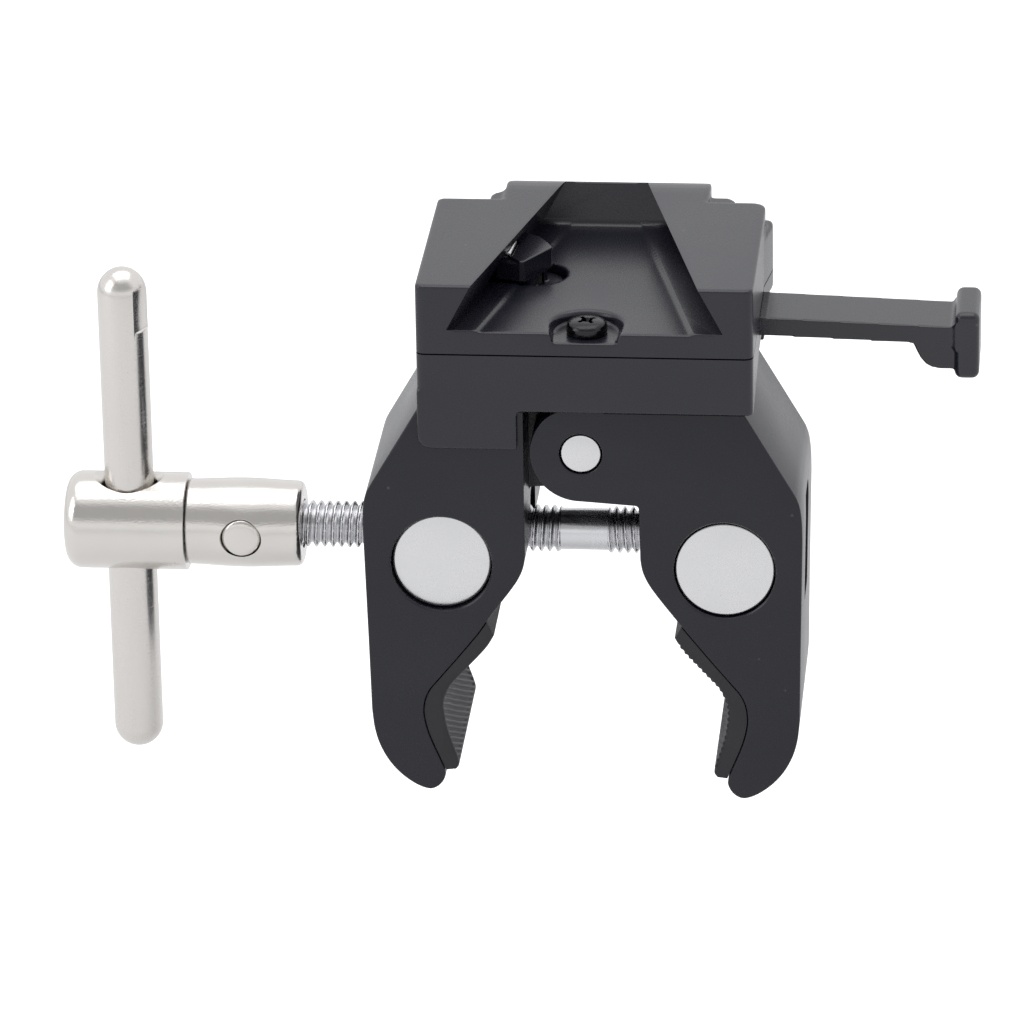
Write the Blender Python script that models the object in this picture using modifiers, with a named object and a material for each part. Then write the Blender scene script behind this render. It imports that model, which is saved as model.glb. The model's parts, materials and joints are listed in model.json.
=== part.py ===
"""Super clamp with a wedge-lock battery receiver: two hinged claw jaws drawn together by a
double-handed screw with a sliding T-bar, under a receiver plate with a sprung push-bar catch.

Metres, +Z up; the named sizes are in mm.  +X points from the handle towards the release bar, so
left is -X; front is -Y, back is +Y; the jaws open downwards.  Everything is drawn with the hinge
pin's axis at x = z = 0, and moved at the end so that the model's origin is the middle of the wedge
pocket's floor."""

import bpy
import bmesh
import math
from mathutils import Vector, Matrix

MM = 0.001

# ---------------------------------------------------------------- driving dimensions
GAP = 0.3                      # clearance between neighbouring pieces

# jaws and hinge
JAW_MID = 2.0                  # y of the jaws' and the screw's mid plane
JAW_HALF_DEPTH = 17.2
JAW_FRONT, JAW_BACK = JAW_MID - JAW_HALF_DEPTH, JAW_MID + JAW_HALF_DEPTH
JAW_TOP = 8.0
ARM_TOP = JAW_TOP - 0.2        # top of the arms that reach to the hinge
ARM_REACH = 12
KNUCKLE_HALF = 6.8             # left jaw's centre knuckle, half its width
EAR_IN = KNUCKLE_HALF + GAP    # right jaw's ears start here
LOBE_R = 9.05
PIN_R = 3.5
PIN_BORE_R = PIN_R + GAP
INSET_HALF = JAW_HALF_DEPTH - GAP    # half length of the hinge pin and the pads

# clamp screw, dowels and handle
SCREW_Z = -21.6                # height of the screw's and the dowels' axes
DOWEL_X, DOWEL_R, DOWEL_BORE_R, DOWEL_HALF = 25.0, 8.75, 9.0, 16.6
SLOT_HALF_Y, SLOT_LOW, SLOT_HIGH = 4.9, -32.8, -12.5
SCREW_R, SCREW_NECK_R, SCREW_BORE_R = 4.2, 3.75, 4.55
SCREW_LEFT, SCREW_RIGHT = -66.0, 36.3
RING_X0, RING_X1, RING_R, RING_BORE_R = 34.3, 35.6, 4.55, 3.35
RING_GROOVE_R, RING_GAP_HALF = 3.0, 0.9
HEAD_X0, HEAD_X1, HEAD_R = -94.0, -72.2, 8.8
NECK_X0, NECK_X1, NECK_R = HEAD_X1 + GAP, -51.3, 7.7
NECK_BORE_R = 4.3
CROSS_X = -61.9                # cross pin through the neck sleeve and the screw
CROSS_HEAD_R, CROSS_HEAD_IN, CROSS_HEAD_OUT = 3.35, 4.6, 7.6
CROSS_SHANK_R, CROSS_SHANK_HALF, CROSS_HOLE_R = 1.95, 5, 2.3
BAR_X, BAR_R, BAR_LOW, BAR_HIGH = -82.7, 4.4, -65.9, 27.0
BAR_HOLE_R = 4.75

# receiver housing
PLATE_X0, PLATE_X1 = -28.6, 30.4
PLATE_Y0, PLATE_Y1, EXTENSION_BACK = -16.5, 27.2, 40.5
PLATE_TOP, BASE_LOW = 31.75, 8.3
SEAM_Z = 19.0                  # middle of the gap between the two housings
SEAM_HIGH, SEAM_LOW = SEAM_Z + GAP / 2, SEAM_Z - GAP / 2
HOUSING_BEVEL = 0.9
WEDGE_X = 1.0                  # centre line of the wedge pocket
WEDGE_FRONT, WEDGE_BACK = -16.3, 38.0
WEDGE_HALF_FRONT = 19.8        # half width at WEDGE_FRONT
WEDGE_TAPER = 0.2335           # half width lost per mm towards the back
WEDGE_UNDERCUT = 4.3           # extra half width at the ledge
WEDGE_LEAN = 0.21              # back wall's shift in y per mm of height
LEDGE_Z, FLOOR_Z = 23.65, 23.25

# release bar, its channel and the catch
CHANNEL_Y0, CHANNEL_Y1, CHANNEL_Z = 4.15, 17.75, 14.85
PUSH_GAP = 0.35                # the bar's clearance in its channel
PUSH_Y0, PUSH_Y1 = CHANNEL_Y0 + PUSH_GAP, CHANNEL_Y1 - PUSH_GAP
PUSH_Z0, PUSH_Z1 = CHANNEL_Z + PUSH_GAP, 18.5
PUSH_SAG_X = 31.0              # the bar droops from here outwards
PUSH_DROOP = 0.0367            # droop per mm
PUSH_END, PADDLE_X1 = 64.8, 69.2
CATCH_TOP = 27.7
CATCH_SLOT_X0, CATCH_SLOT_X1, CATCH_SLOT_Y0, CATCH_SLOT_Y1 = -22.2, -4.3, 6.7, 18.0
FLANGE_GAP = 0.45              # catch flange's clearance in the slot

# places (x, y) of the upright fasteners, and their hole radii
POCKET_SCREW = (1.05, -10.9)
REAR_SCREWS = ((-22.0, 23.4), (24.5, 23.4))
JAW_BOLTS = ((-21.6, -10.0), (-15.0, -3.2))
CATCH_SCREW = (-10.0, 12.3)
REAR_HOLE_R, JAW_BOLT_HOLE_R, CATCH_HOLE_R = 1.75, 2.25, 1.6

for old in list(bpy.data.objects):
    bpy.data.objects.remove(old)

PARTS = bpy.data.collections.new("super_clamp")
TOOLS = bpy.data.collections.new("cutters")
bpy.context.scene.collection.children.link(PARTS)
bpy.context.scene.collection.children.link(TOOLS)


# ---------------------------------------------------------------- materials
def material(name, colour, roughness, metallic):
    mat = bpy.data.materials.new(name)
    mat.use_nodes = True
    shader = mat.node_tree.nodes["Principled BSDF"]
    shader.inputs["Base Color"].default_value = (*colour, 1)
    shader.inputs["Roughness"].default_value = roughness
    shader.inputs["Metallic"].default_value = metallic
    mat.diffuse_color = (*colour, 1)
    return mat


BLACK_ALU = material("black_anodised", colour=(0.018, 0.018, 0.020), roughness=0.38, metallic=0.3)
BLACK_CAST = material("black_housing", colour=(0.020, 0.020, 0.021), roughness=0.55, metallic=0.0)
BLACK_NYLON = material("black_nylon", colour=(0.022, 0.022, 0.023), roughness=0.5, metallic=0.0)
CHROME = material("chrome", colour=(0.78, 0.78, 0.78), roughness=0.12, metallic=1.0)
NICKEL = material("nickel", colour=(0.66, 0.64, 0.61), roughness=0.22, metallic=1.0)
ZINC = material("zinc_steel", colour=(0.62, 0.62, 0.63), roughness=0.3, metallic=1.0)
BLACK_STEEL = material("black_oxide_steel", colour=(0.05, 0.05, 0.052), roughness=0.35, metallic=0.9)
RUBBER = material("rubber", colour=(0.03, 0.03, 0.03), roughness=0.8, metallic=0.0)


# ---------------------------------------------------------------- modelling helpers
# Helpers take mm.  A shape given no material is a hidden tool for the booleans.
section_y = JAW_MID            # where y = 0 of the section being drawn lies


def add_mesh(name, bm, mat):
    bmesh.ops.recalc_face_normals(bm, faces=bm.faces)
    bmesh.ops.translate(bm, vec=(0, section_y * MM, 0), verts=bm.verts)
    mesh = bpy.data.meshes.new(name)
    bm.to_mesh(mesh)
    bm.free()
    obj = bpy.data.objects.new(name, mesh)
    if mat:
        PARTS.objects.link(obj)
        mesh.materials.append(mat)
    else:
        TOOLS.objects.link(obj)
        obj.hide_render = True
        obj.display_type = "WIRE"
    return obj


def block(name, x, y, z, mat=None, bevel=0.0, edges="all"):
    """A box from its (low, high) limits; all edges, or those along one axis, are rounded."""
    bm = bmesh.new()
    bmesh.ops.create_cube(bm, size=1)
    size = Vector((x[1] - x[0], y[1] - y[0], z[1] - z[0])) * MM
    mid = Vector((x[0] + x[1], y[0] + y[1], z[0] + z[1])) * MM / 2
    bmesh.ops.scale(bm, vec=size, verts=bm.verts)
    bmesh.ops.translate(bm, vec=mid, verts=bm.verts)
    if bevel:
        chosen = [e for e in bm.edges if edges == "all"
                  or abs((e.verts[0].co - e.verts[1].co).normalized()["xyz".index(edges)]) > 0.9]
        bmesh.ops.bevel(bm, geom=chosen, offset=bevel * MM, segments=3, profile=0.5,
                        affect="EDGES")
    return add_mesh(name, bm, mat)


def rod(name, radius, start, end, mat=None, segments=48, bevel=0.0):
    """A round bar between two points, with its rims chamfered."""
    start, end = Vector(start) * MM, Vector(end) * MM
    bm = bmesh.new()
    bmesh.ops.create_cone(bm, cap_ends=True, segments=segments, radius1=radius * MM,
                          radius2=radius * MM, depth=(end - start).length)
    if bevel:
        rims = [e for e in bm.edges
                if len(e.link_faces) == 2 and any(len(f.verts) > 4 for f in e.link_faces)]
        bmesh.ops.bevel(bm, geom=rims, offset=bevel * MM, segments=1, profile=0.5, affect="EDGES")
    turn = (end - start).to_track_quat("Z", "Y").to_matrix().to_4x4()
    bmesh.ops.transform(bm, matrix=Matrix.Translation((start + end) / 2) @ turn, verts=bm.verts)
    return add_mesh(name, bm, mat)


def rod_x(name, radius, place, ends, **style):
    """A rod along X at place (y, z)."""
    return rod(name, radius, (ends[0], *place), (ends[1], *place), **style)


def rod_y(name, radius, place, ends, **style):
    """A rod along Y at place (x, z)."""
    x, z = place
    return rod(name, radius, (x, ends[0], z), (x, ends[1], z), **style)


def rod_z(name, radius, place, ends, **style):
    """A rod along Z at place (x, y)."""
    return rod(name, radius, (*place, ends[0]), (*place, ends[1]), **style)


def hull(name, points):
    """A tool: the convex hull of the points."""
    bm = bmesh.new()
    for point in points:
        bm.verts.new(Vector(point) * MM)
    bmesh.ops.convex_hull(bm, input=bm.verts)
    return add_mesh(name, bm, None)


def spline_through(points, steps=3):
    """Points along a smooth curve (Catmull-Rom) that passes through the given ones."""
    out = []
    for i in range(len(points) - 1):
        before, start, end = points[max(i - 1, 0)], points[i], points[i + 1]
        after = points[min(i + 2, len(points) - 1)]
        for step in range(steps):
            t = step / steps
            out.append(tuple(
                0.5 * (2 * b + (c - a) * t + (2 * a - 5 * b + 4 * c - d) * t * t
                       + (3 * b - a - 3 * c + d) * t ** 3)
                for a, b, c, d in zip(before, start, end, after)))
    out.append(points[-1])
    return out


def offset_line(points, distance):
    """The line moved sideways, to the right of its direction of travel seen from the front."""
    moved = []
    for i, (x, z) in enumerate(points):
        before, after = points[max(i - 1, 0)], points[min(i + 1, len(points) - 1)]
        dx, dz = after[0] - before[0], after[1] - before[1]
        length = math.hypot(dx, dz)
        moved.append((x + dz / length * distance, z - dx / length * distance))
    return moved


def flat(name, outline, low, high, plane="xz", mat=None):
    """A flat outline, drawn as a filled 2D curve, extruded from low to high and made a mesh."""
    curve = bpy.data.curves.new(name + "_outline", "CURVE")
    curve.dimensions = "2D"
    curve.fill_mode = "BOTH"
    curve.extrude = (high - low) * MM / 2
    spline = curve.splines.new("POLY")
    spline.points.add(len(outline) - 1)
    for point, (across, up) in zip(spline.points, outline):
        point.co = (across * MM, up * MM, 0, 1)
    spline.use_cyclic_u = True
    draft = bpy.data.objects.new(name + "_draft", curve)
    TOOLS.objects.link(draft)
    mid = (low + high) * MM / 2
    if plane == "xz":
        draft.matrix_world = Matrix.Translation((0, mid, 0)) @ Matrix.Rotation(math.pi / 2, 4, "X")
    else:
        draft.matrix_world = Matrix.Translation((0, 0, mid))
    bpy.context.view_layer.update()
    depsgraph = bpy.context.evaluated_depsgraph_get()
    mesh = bpy.data.meshes.new_from_object(draft.evaluated_get(depsgraph))
    bm = bmesh.new()
    bm.from_mesh(mesh)
    bmesh.ops.transform(bm, matrix=draft.matrix_world, verts=bm.verts)
    bmesh.ops.remove_doubles(bm, verts=bm.verts, dist=0.000001)
    bpy.data.objects.remove(draft)
    bpy.data.curves.remove(curve)
    bpy.data.meshes.remove(mesh)
    return add_mesh(name, bm, mat)


def turned(name, profile, frame, mat, steps=36):
    """A piece turned about its frame's Z: (radius, distance) from its far end to its near end."""
    bm = bmesh.new()
    verts = [bm.verts.new((radius * MM, 0, along * MM)) for radius, along in profile]
    for pair in zip(verts, verts[1:]):
        bm.edges.new(pair)
    mesh = bpy.data.meshes.new(name)
    bm.to_mesh(mesh)
    bm.free()
    mesh.materials.append(mat)
    obj = bpy.data.objects.new(name, mesh)
    PARTS.objects.link(obj)
    spin = obj.modifiers.new("turn", "SCREW")
    spin.axis = "Z"
    spin.steps = spin.render_steps = steps
    spin.use_merge_vertices = True
    spin.merge_threshold = 0.00001
    spin.use_smooth_shade = True
    obj.matrix_world = frame
    return obj


def boolean(obj, other, operation):
    mod = obj.modifiers.new(operation.lower() + "_" + other.name, "BOOLEAN")
    mod.operation = operation
    mod.solver = "EXACT"
    mod.object = other


def cut(obj, *others):
    for other in others:
        boolean(obj, other, "DIFFERENCE")


def weld(obj, *others):
    for other in others:
        boolean(obj, other, "UNION")


def pivot(obj, point):
    """Move a piece's origin onto its joint axis without moving the piece."""
    shift = Matrix.Translation((Vector(point) + Vector((0, section_y, 0))) * MM)
    obj.data.transform(shift.inverted())
    obj.matrix_world = shift


def smooth(obj, angle=35):
    obj.data.shade_smooth()
    obj.data.set_sharp_from_angle(angle=math.radians(angle))


# ---------------------------------------------------------------- jaws
# left jaw's outline (x, z), from its top left corner down, round the tip and up the inside
OUTER = [(-28.75, JAW_TOP), (-37.3, -6.6)] + spline_through([
    (-37.9, -7.7), (-38.5, -9.6), (-38.8, -12.5), (-38.8, -16.0),
]) + [(-38.3, -36.0)] + spline_through([
    (-38.0, -50.2), (-37.6, -53.9), (-36.7, -57.2), (-35.1, -60.3), (-33.0, -62.8),
    (-30.5, -64.7), (-28.3, -65.6), (-26.9, -65.4), (-25.7, -64.4), (-25.05, -63.0),
    (-25.1, -61.9),
])
SEAT = spline_through([        # where the rubber pad lies
    (-25.1, -61.9), (-26.1, -59.4), (-27.1, -57.0), (-28.0, -54.5), (-28.55, -52.2),
    (-28.75, -50.1), (-28.45, -47.7), (-27.6, -45.6), (-26.3, -43.9), (-24.6, -41.8),
    (-22.8, -39.6), (-20.9, -37.2), (-19.1, -34.9), (-17.3, -32.6),
], 2)
INNER = spline_through([
    (-14.6, -29.0), (-13.0, -26.8), (-11.5, -24.5), (-10.5, -22.2), (-10.1, -19.9),
], 2)
JAW_OUTLINE = OUTER + SEAT[1:] + INNER + [(-10.1, JAW_TOP)]

# left pad's gripping face (x, z), from the top down
PAD_FACE = [
    (-16.1, -33.4), (-15.9, -34.9), (-17.1, -37.0), (-18.8, -39.1), (-20.6, -41.1),
    (-22.2, -42.9), (-23.6, -44.5), (-24.6, -46.3), (-25.2, -48.2), (-25.4, -50.2),
    (-25.15, -53.6), (-24.5, -56.6), (-23.7, -59.3), (-23.3, -60.9), (-23.6, -61.7),
]
PAD_OUTLINE = spline_through(PAD_FACE, 2) + offset_line(SEAT, GAP)

# left jaw's arm to the hinge (x, z)
KNUCKLE_OUTLINE = [
    (-ARM_REACH, -10.7), (-4.5, -10.5), (-1.0, -9.0), (0, -9.0), (0, ARM_TOP),
    (-ARM_REACH, ARM_TOP),
]
EAR_LOW = -9.5
ARM_INSET, LOBE_INSET = 0.04, 0.02    # keep the welded ear faces from coinciding
THROUGH_JAWS = (-22, 22)       # y limits of bores through the whole jaw depth


def on_side(points, side):
    """An outline drawn for the left (side -1), mirrored if it is for the right (side 1)."""
    return [(-side * x, z) for x, z in points]


pin_bore = rod_y("pin_bore", PIN_BORE_R, (0, 0), THROUGH_JAWS, segments=36)


def jaw(name, side, *additions):
    body = flat(name, on_side(JAW_OUTLINE, side), -JAW_HALF_DEPTH, JAW_HALF_DEPTH, mat=BLACK_ALU)
    weld(body, *additions)
    cut(body,
        block(name + "_slot", sorted((side * 5, side * 45)), (-SLOT_HALF_Y, SLOT_HALF_Y),
              (SLOT_LOW, SLOT_HIGH), bevel=2.0, edges="x"),
        rod_y(name + "_dowel_bore", DOWEL_BORE_R, (side * DOWEL_X, SCREW_Z), THROUGH_JAWS),
        pin_bore)
    smooth(body)
    return body


def ear(tag, y0, y1):
    """One of the right jaw's two ears: an arm and a round lobe about the hinge axis."""
    return (block("ear_arm_" + tag, (0, ARM_REACH), (y0 + ARM_INSET, y1 - ARM_INSET),
                  (EAR_LOW, ARM_TOP)),
            rod_y("ear_lobe_" + tag, LOBE_R, (0, 0), (y0 + LOBE_INSET, y1 - LOBE_INSET)))


left_jaw = jaw(
    "left_jaw", -1,
    flat("knuckle_arm", KNUCKLE_OUTLINE, -KNUCKLE_HALF, KNUCKLE_HALF),
    rod_y("knuckle_lobe", LOBE_R, (0, 0), (-KNUCKLE_HALF, KNUCKLE_HALF)),
    block("seat_boss", (-26.0, -11.0), (-16.6, 16.6), (7.0, 11.2), bevel=1.0, edges="z"))
jaw("right_jaw", 1, *ear("front", -JAW_HALF_DEPTH, -EAR_IN), *ear("back", EAR_IN, JAW_HALF_DEPTH))

hinge_pin = rod_y("hinge_pin", PIN_R, (0, 0), (-INSET_HALF, INSET_HALF), mat=CHROME, segments=36,
                  bevel=0.4)
smooth(hinge_pin)

# ---------------------------------------------------------------- rubber pads
for name, side in (("left_pad", -1), ("right_pad", 1)):
    pad = flat(name, on_side(PAD_OUTLINE, side), -INSET_HALF, INSET_HALF, mat=RUBBER)
    smooth(pad, 30)
    if side > 0:
        pivot(pad, (0, 0, 0))

# ---------------------------------------------------------------- dowels
SCREW_LINE = (0, SCREW_Z)      # (y, z) of the screw's axis
screw_bore = rod_x("screw_bore", SCREW_BORE_R, SCREW_LINE, (-60, 60), segments=36)
for name, side in (("left_dowel", -1), ("right_dowel", 1)):
    dowel = rod_y(name, DOWEL_R, (side * DOWEL_X, SCREW_Z), (-DOWEL_HALF, DOWEL_HALF),
                  mat=CHROME, bevel=0.5)
    cut(dowel, screw_bore)
    pivot(dowel, (side * DOWEL_X, 0, SCREW_Z))
    smooth(dowel)

# ---------------------------------------------------------------- screw and its end ring
TO_X = Vector((1, 0, 0)).to_track_quat("Z", "Y").to_matrix().to_4x4()
SCREW_FRAME = Matrix.Translation(Vector((0, JAW_MID, SCREW_Z)) * MM) @ TO_X
GROOVE_X0, GROOVE_X1 = RING_X0 - 0.1, RING_X1 + 0.1
CROSS_PLACE = (CROSS_X, SCREW_Z)
CROSS_CUT = 12                 # cutters for the cross pin reach this far from the axis

# a narrower waist in the middle and a groove for the end ring
screw = turned("clamp_screw", [
    (0, SCREW_RIGHT), (3.2, SCREW_RIGHT), (SCREW_R, SCREW_RIGHT - 0.7), (SCREW_R, GROOVE_X1),
    (RING_GROOVE_R, GROOVE_X1), (RING_GROOVE_R, GROOVE_X0), (SCREW_R, GROOVE_X0), (SCREW_R, 3.9),
    (SCREW_NECK_R, 3.5), (SCREW_NECK_R, -4.9), (SCREW_R, -5.3), (SCREW_R, SCREW_LEFT + 1.0),
    (3.0, SCREW_LEFT), (0, SCREW_LEFT),
], SCREW_FRAME, ZINC, steps=32)
cut(screw, rod_y("crimp_hole", CROSS_HOLE_R, CROSS_PLACE, (-CROSS_CUT, CROSS_CUT), segments=20))

# an open snap ring, split at the top
ring = rod_x("screw_end_ring", RING_R, SCREW_LINE, (RING_X0, RING_X1), mat=BLACK_STEEL,
             segments=24)
cut(ring, rod_x("ring_bore", RING_BORE_R, SCREW_LINE, (30, 40), segments=24),
    block("ring_gap", (30, 40), (-RING_GAP_HALF, RING_GAP_HALF), (SCREW_Z, SCREW_Z + 10)))
pivot(ring, (RING_X0, 0, SCREW_Z))

# ---------------------------------------------------------------- handle
head = turned("handle_head", [
    (0, HEAD_X1), (8.0, HEAD_X1), (HEAD_R - 0.2, HEAD_X1 - 0.3), (HEAD_R, HEAD_X1 - 1.0),
    (HEAD_R, HEAD_X0 + 4.0), (8.55, HEAD_X0 + 2.4), (7.9, HEAD_X0 + 1.1), (6.9, HEAD_X0 + 0.35),
    (5.6, HEAD_X0), (0, HEAD_X0),
], SCREW_FRAME, NICKEL)
cut(head, rod_z("bar_hole", BAR_HOLE_R, (BAR_X, 0), (SCREW_Z - 20, SCREW_Z + 20), segments=36))

neck = turned("neck_sleeve", [
    (0, NECK_X1), (5.9, NECK_X1), (7.1, NECK_X1 - 0.6), (NECK_R, NECK_X1 - 1.6),
    (7.95, NECK_X1 - 6), (8.1, -62.0), (7.9, -66.5), (NECK_R, NECK_X0 + 0.8), (7.3, NECK_X0),
    (0, NECK_X0),
], SCREW_FRAME, NICKEL)
CROSS_SINK_R, CROSS_SINK_IN = CROSS_HEAD_R + GAP, 2.0
cut(neck, rod_x("neck_bore", NECK_BORE_R, SCREW_LINE, (SCREW_LEFT - GAP, -40), segments=36),
    rod_y("crimp_pin_bore", CROSS_SINK_R, CROSS_PLACE, (-CROSS_CUT, -CROSS_SINK_IN), segments=24),
    rod_y("crimp_pin_bore_back", CROSS_SINK_R, CROSS_PLACE, (CROSS_SINK_IN, CROSS_CUT),
          segments=24))

# a shank with a wider head at each end
cross_pin = rod_y("cross_pin", CROSS_HEAD_R, CROSS_PLACE, (-CROSS_HEAD_OUT, -CROSS_HEAD_IN),
                  mat=NICKEL, segments=24, bevel=0.3)
weld(cross_pin,
     rod_y("cross_pin_shank", CROSS_SHANK_R, CROSS_PLACE, (-CROSS_SHANK_HALF, CROSS_SHANK_HALF),
           segments=20),
     rod_y("cross_pin_back", CROSS_HEAD_R, CROSS_PLACE, (CROSS_HEAD_IN, CROSS_HEAD_OUT),
           segments=24, bevel=0.3))
smooth(cross_pin)

t_bar = turned("t_bar", [
    (0, BAR_HIGH), (1.4, BAR_HIGH - 0.15), (2.6, BAR_HIGH - 0.8), (3.5, BAR_HIGH - 2.0),
    (4.0, BAR_HIGH - 3.6), (BAR_R, BAR_HIGH - 5.2), (BAR_R, BAR_LOW + 4.2), (4.0, BAR_LOW + 2.9),
    (3.5, BAR_LOW + 1.5), (2.6, BAR_LOW + 0.6), (1.4, BAR_LOW + 0.1), (0, BAR_LOW),
], Matrix.Translation((BAR_X * MM, JAW_MID * MM, 0)), NICKEL, steps=32)
# a flat near the bar's top, on the side that faces right and forwards
FLAT_Z0, FLAT_Z1, FLAT_DEPTH = 15.7, 24.0, 3.8    # depth is from the bar's axis
FLAT_NORMAL = Vector((0.907, -0.421, 0))
FLAT_ALONG = Vector((-FLAT_NORMAL.y, FLAT_NORMAL.x, 0))
cut(t_bar, hull("bar_flat", [Vector((BAR_X, 0, z)) + FLAT_NORMAL * out + FLAT_ALONG * side
                             for z in (FLAT_Z0, FLAT_Z1)
                             for out in (FLAT_DEPTH, 8)
                             for side in (-6, 6)]))

# ---------------------------------------------------------------- receiver: upper housing
section_y = 0.0

# (x, y) outlines
EXTENSION = [
    (-16.9, 24), (-16.9, 35.4), (-16.2, 38.4), (-14.0, EXTENSION_BACK), (17.6, EXTENSION_BACK),
    (19.4, 38.6), (20.0, 36.6), (20.0, 24),
]
BOSS = [
    (26.0, 18.0), (30.35, 18.0), (31.5, 26.5), (31.6, 28.4), (30.9, 29.2), (29.9, 29.4),
    (26.0, 29.4),
]
# facets that roll the extension's back edge over: y and z where each starts, fall per mm of y
ROLL_FACETS = ((34.0, 31.76, 0.12), (36.7, 31.45, 0.33), (39.0, 30.72, 0.75), (40.0, 30.0, 2.2))
FRONT_CUT = -18                # cutters open to the front start here
RECESS_R, RECESS_Y, RECESS_MOUTH = 6.1, -11.6, 5.4

upper = block("upper_housing", (PLATE_X0, PLATE_X1), (PLATE_Y0, PLATE_Y1), (SEAM_HIGH, PLATE_TOP),
              mat=BLACK_CAST, bevel=HOUSING_BEVEL, edges="z")
weld(upper, flat("rear_extension", EXTENSION, 20.6, PLATE_TOP, plane="xy"),
     flat("rear_boss", BOSS, SEAM_HIGH, 27.8, plane="xy"))
for y, z, fall in ROLL_FACETS:
    corners = ((y, z), (50, z - fall * (50 - y)), (50, 40), (y, 40))
    cut(upper, hull("rear_roll", [(x, *corner) for x in (-40, 40) for corner in corners]))


def wedge_half(y):
    return WEDGE_HALF_FRONT - WEDGE_TAPER * (y - WEDGE_FRONT)


def wedge_cutter(name, back, levels):
    """A tapered cutter, open to the front; levels are (z, extra half width)."""
    points = []
    for end, lean in ((FRONT_CUT, 0), (back, WEDGE_LEAN)):
        for z, extra in levels:
            y = end + lean * (z - PLATE_TOP)
            points += [(WEDGE_X + s * (wedge_half(y) + extra), y, z) for s in (-1, 1)]
    return hull(name, points)


def stadium(x0, x1, y0, y1):
    """A slot outline with round ends."""
    r, mid = (y1 - y0) / 2, (y0 + y1) / 2
    angles = [math.pi * i / 10 for i in range(11)]
    return ([(x1 - r + r * math.sin(a), mid - r * math.cos(a)) for a in angles]
            + [(x0 + r - r * math.sin(a), mid + r * math.cos(a)) for a in angles])


undercut_slope = WEDGE_UNDERCUT / (PLATE_TOP - LEDGE_Z)
recess = [(WEDGE_X + RECESS_R * math.cos(math.pi * i / 16),
           RECESS_Y + RECESS_R * math.sin(math.pi * i / 16)) for i in range(17)]
recess += [(WEDGE_X - RECESS_MOUTH, FRONT_CUT), (WEDGE_X + RECESS_MOUTH, FRONT_CUT)]
cut(upper,
    wedge_cutter("wedge_pocket", WEDGE_BACK,
                 ((LEDGE_Z, WEDGE_UNDERCUT), (PLATE_TOP + 2, -2 * undercut_slope))),
    wedge_cutter("floor_panel", WEDGE_BACK - 2.4, ((FLOOR_Z, -0.6), (LEDGE_Z + 0.5, -0.1))),
    flat("catch_slot", stadium(CATCH_SLOT_X0, CATCH_SLOT_X1, CATCH_SLOT_Y0, CATCH_SLOT_Y1),
         17, FLOOR_Z + 3, plane="xy"),
    block("catch_notch", (-24.2, -6), (5.8, 21.0), (LEDGE_Z, 28.7)),
    flat("screw_recess", recess, 21.4, 26, plane="xy"),
    rod_z("pocket_screw_hole", 1.9, POCKET_SCREW, (17, 22), segments=20))
for i, place in enumerate(REAR_SCREWS):
    cut(upper, rod_z(f"rear_hole_upper_{i}", REAR_HOLE_R, place, (17, 27.5), segments=20))
smooth(upper)

# ---------------------------------------------------------------- receiver: lower housing
CAVITY_Y0, CAVITY_Y1 = JAW_FRONT - GAP, JAW_BACK + GAP
# skirt at the left, hanging down before and behind the jaws (x, z)
SKIRT = [
    (PLATE_X0 + 0.05, 10), (PLATE_X0 + 0.05, 3.2), (-27.7, 1.8), (-26.2, 1.1), (-11.1, 1.1),
    (-11.1, 10),
]
# section (y, z) cut out of the right edge's underside
SHOULDER = ((-15.4, 8.0), (-15.4, 7), (3.0, 12.4), (19.3, 12.4), (19.3, 7))
RIGHT_EDGE = (28, 33)          # x limits of the cuts through the right edge

lower = block("lower_housing", (PLATE_X0, PLATE_X1), (PLATE_Y0, PLATE_Y1), (BASE_LOW, SEAM_LOW),
              mat=BLACK_CAST, bevel=HOUSING_BEVEL, edges="z")
weld(lower,
     flat("front_skirt", SKIRT, PLATE_Y0 + 0.02, CAVITY_Y0),
     flat("back_skirt", SKIRT, CAVITY_Y1, CAVITY_Y1 + 2.0),
     block("rear_wall", (-27.0, 30.2), (24.0, 29.4), (12.0, SEAM_LOW), bevel=1.2, edges="z"),
     flat("rear_foot", BOSS, 15.6, SEAM_LOW, plane="xy"))
cut(lower,
    block("jaw_cavity", (PLATE_X0 + 1.5, PLATE_X1 - 1.3), (CAVITY_Y0, CAVITY_Y1), (0, 11.6)),
    hull("shoulder_relief", [(x, y, z) for x in RIGHT_EDGE for y, z in SHOULDER]),
    block("bar_relief", RIGHT_EDGE, (5.0, 17.0), (12.0, 15.2)),
    block("push_channel", (-25.0, 40), (CHANNEL_Y0, CHANNEL_Y1), (CHANNEL_Z, 25)),
    rod_z("pocket_screw_thread", 1.75, POCKET_SCREW, (12.8, 25), segments=20))
for i, place in enumerate(JAW_BOLTS):
    cut(lower, rod_z(f"jaw_bolt_head_{i}", 4.1, place, (15.6, 25), segments=24),
        rod_z(f"jaw_bolt_hole_{i}", JAW_BOLT_HOLE_R, place, (10, 17), segments=20))
    cut(left_jaw, rod_z(f"jaw_bolt_thread_{i}", JAW_BOLT_HOLE_R, place, (1.6, 13), segments=20))
for i, place in enumerate(REAR_SCREWS):
    cut(lower, rod_z(f"rear_head_{i}", 3.3, place, (0, 11.4), segments=24),
        rod_z(f"rear_hole_lower_{i}", REAR_HOLE_R, place, (9, 25), segments=20))
smooth(lower)


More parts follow.
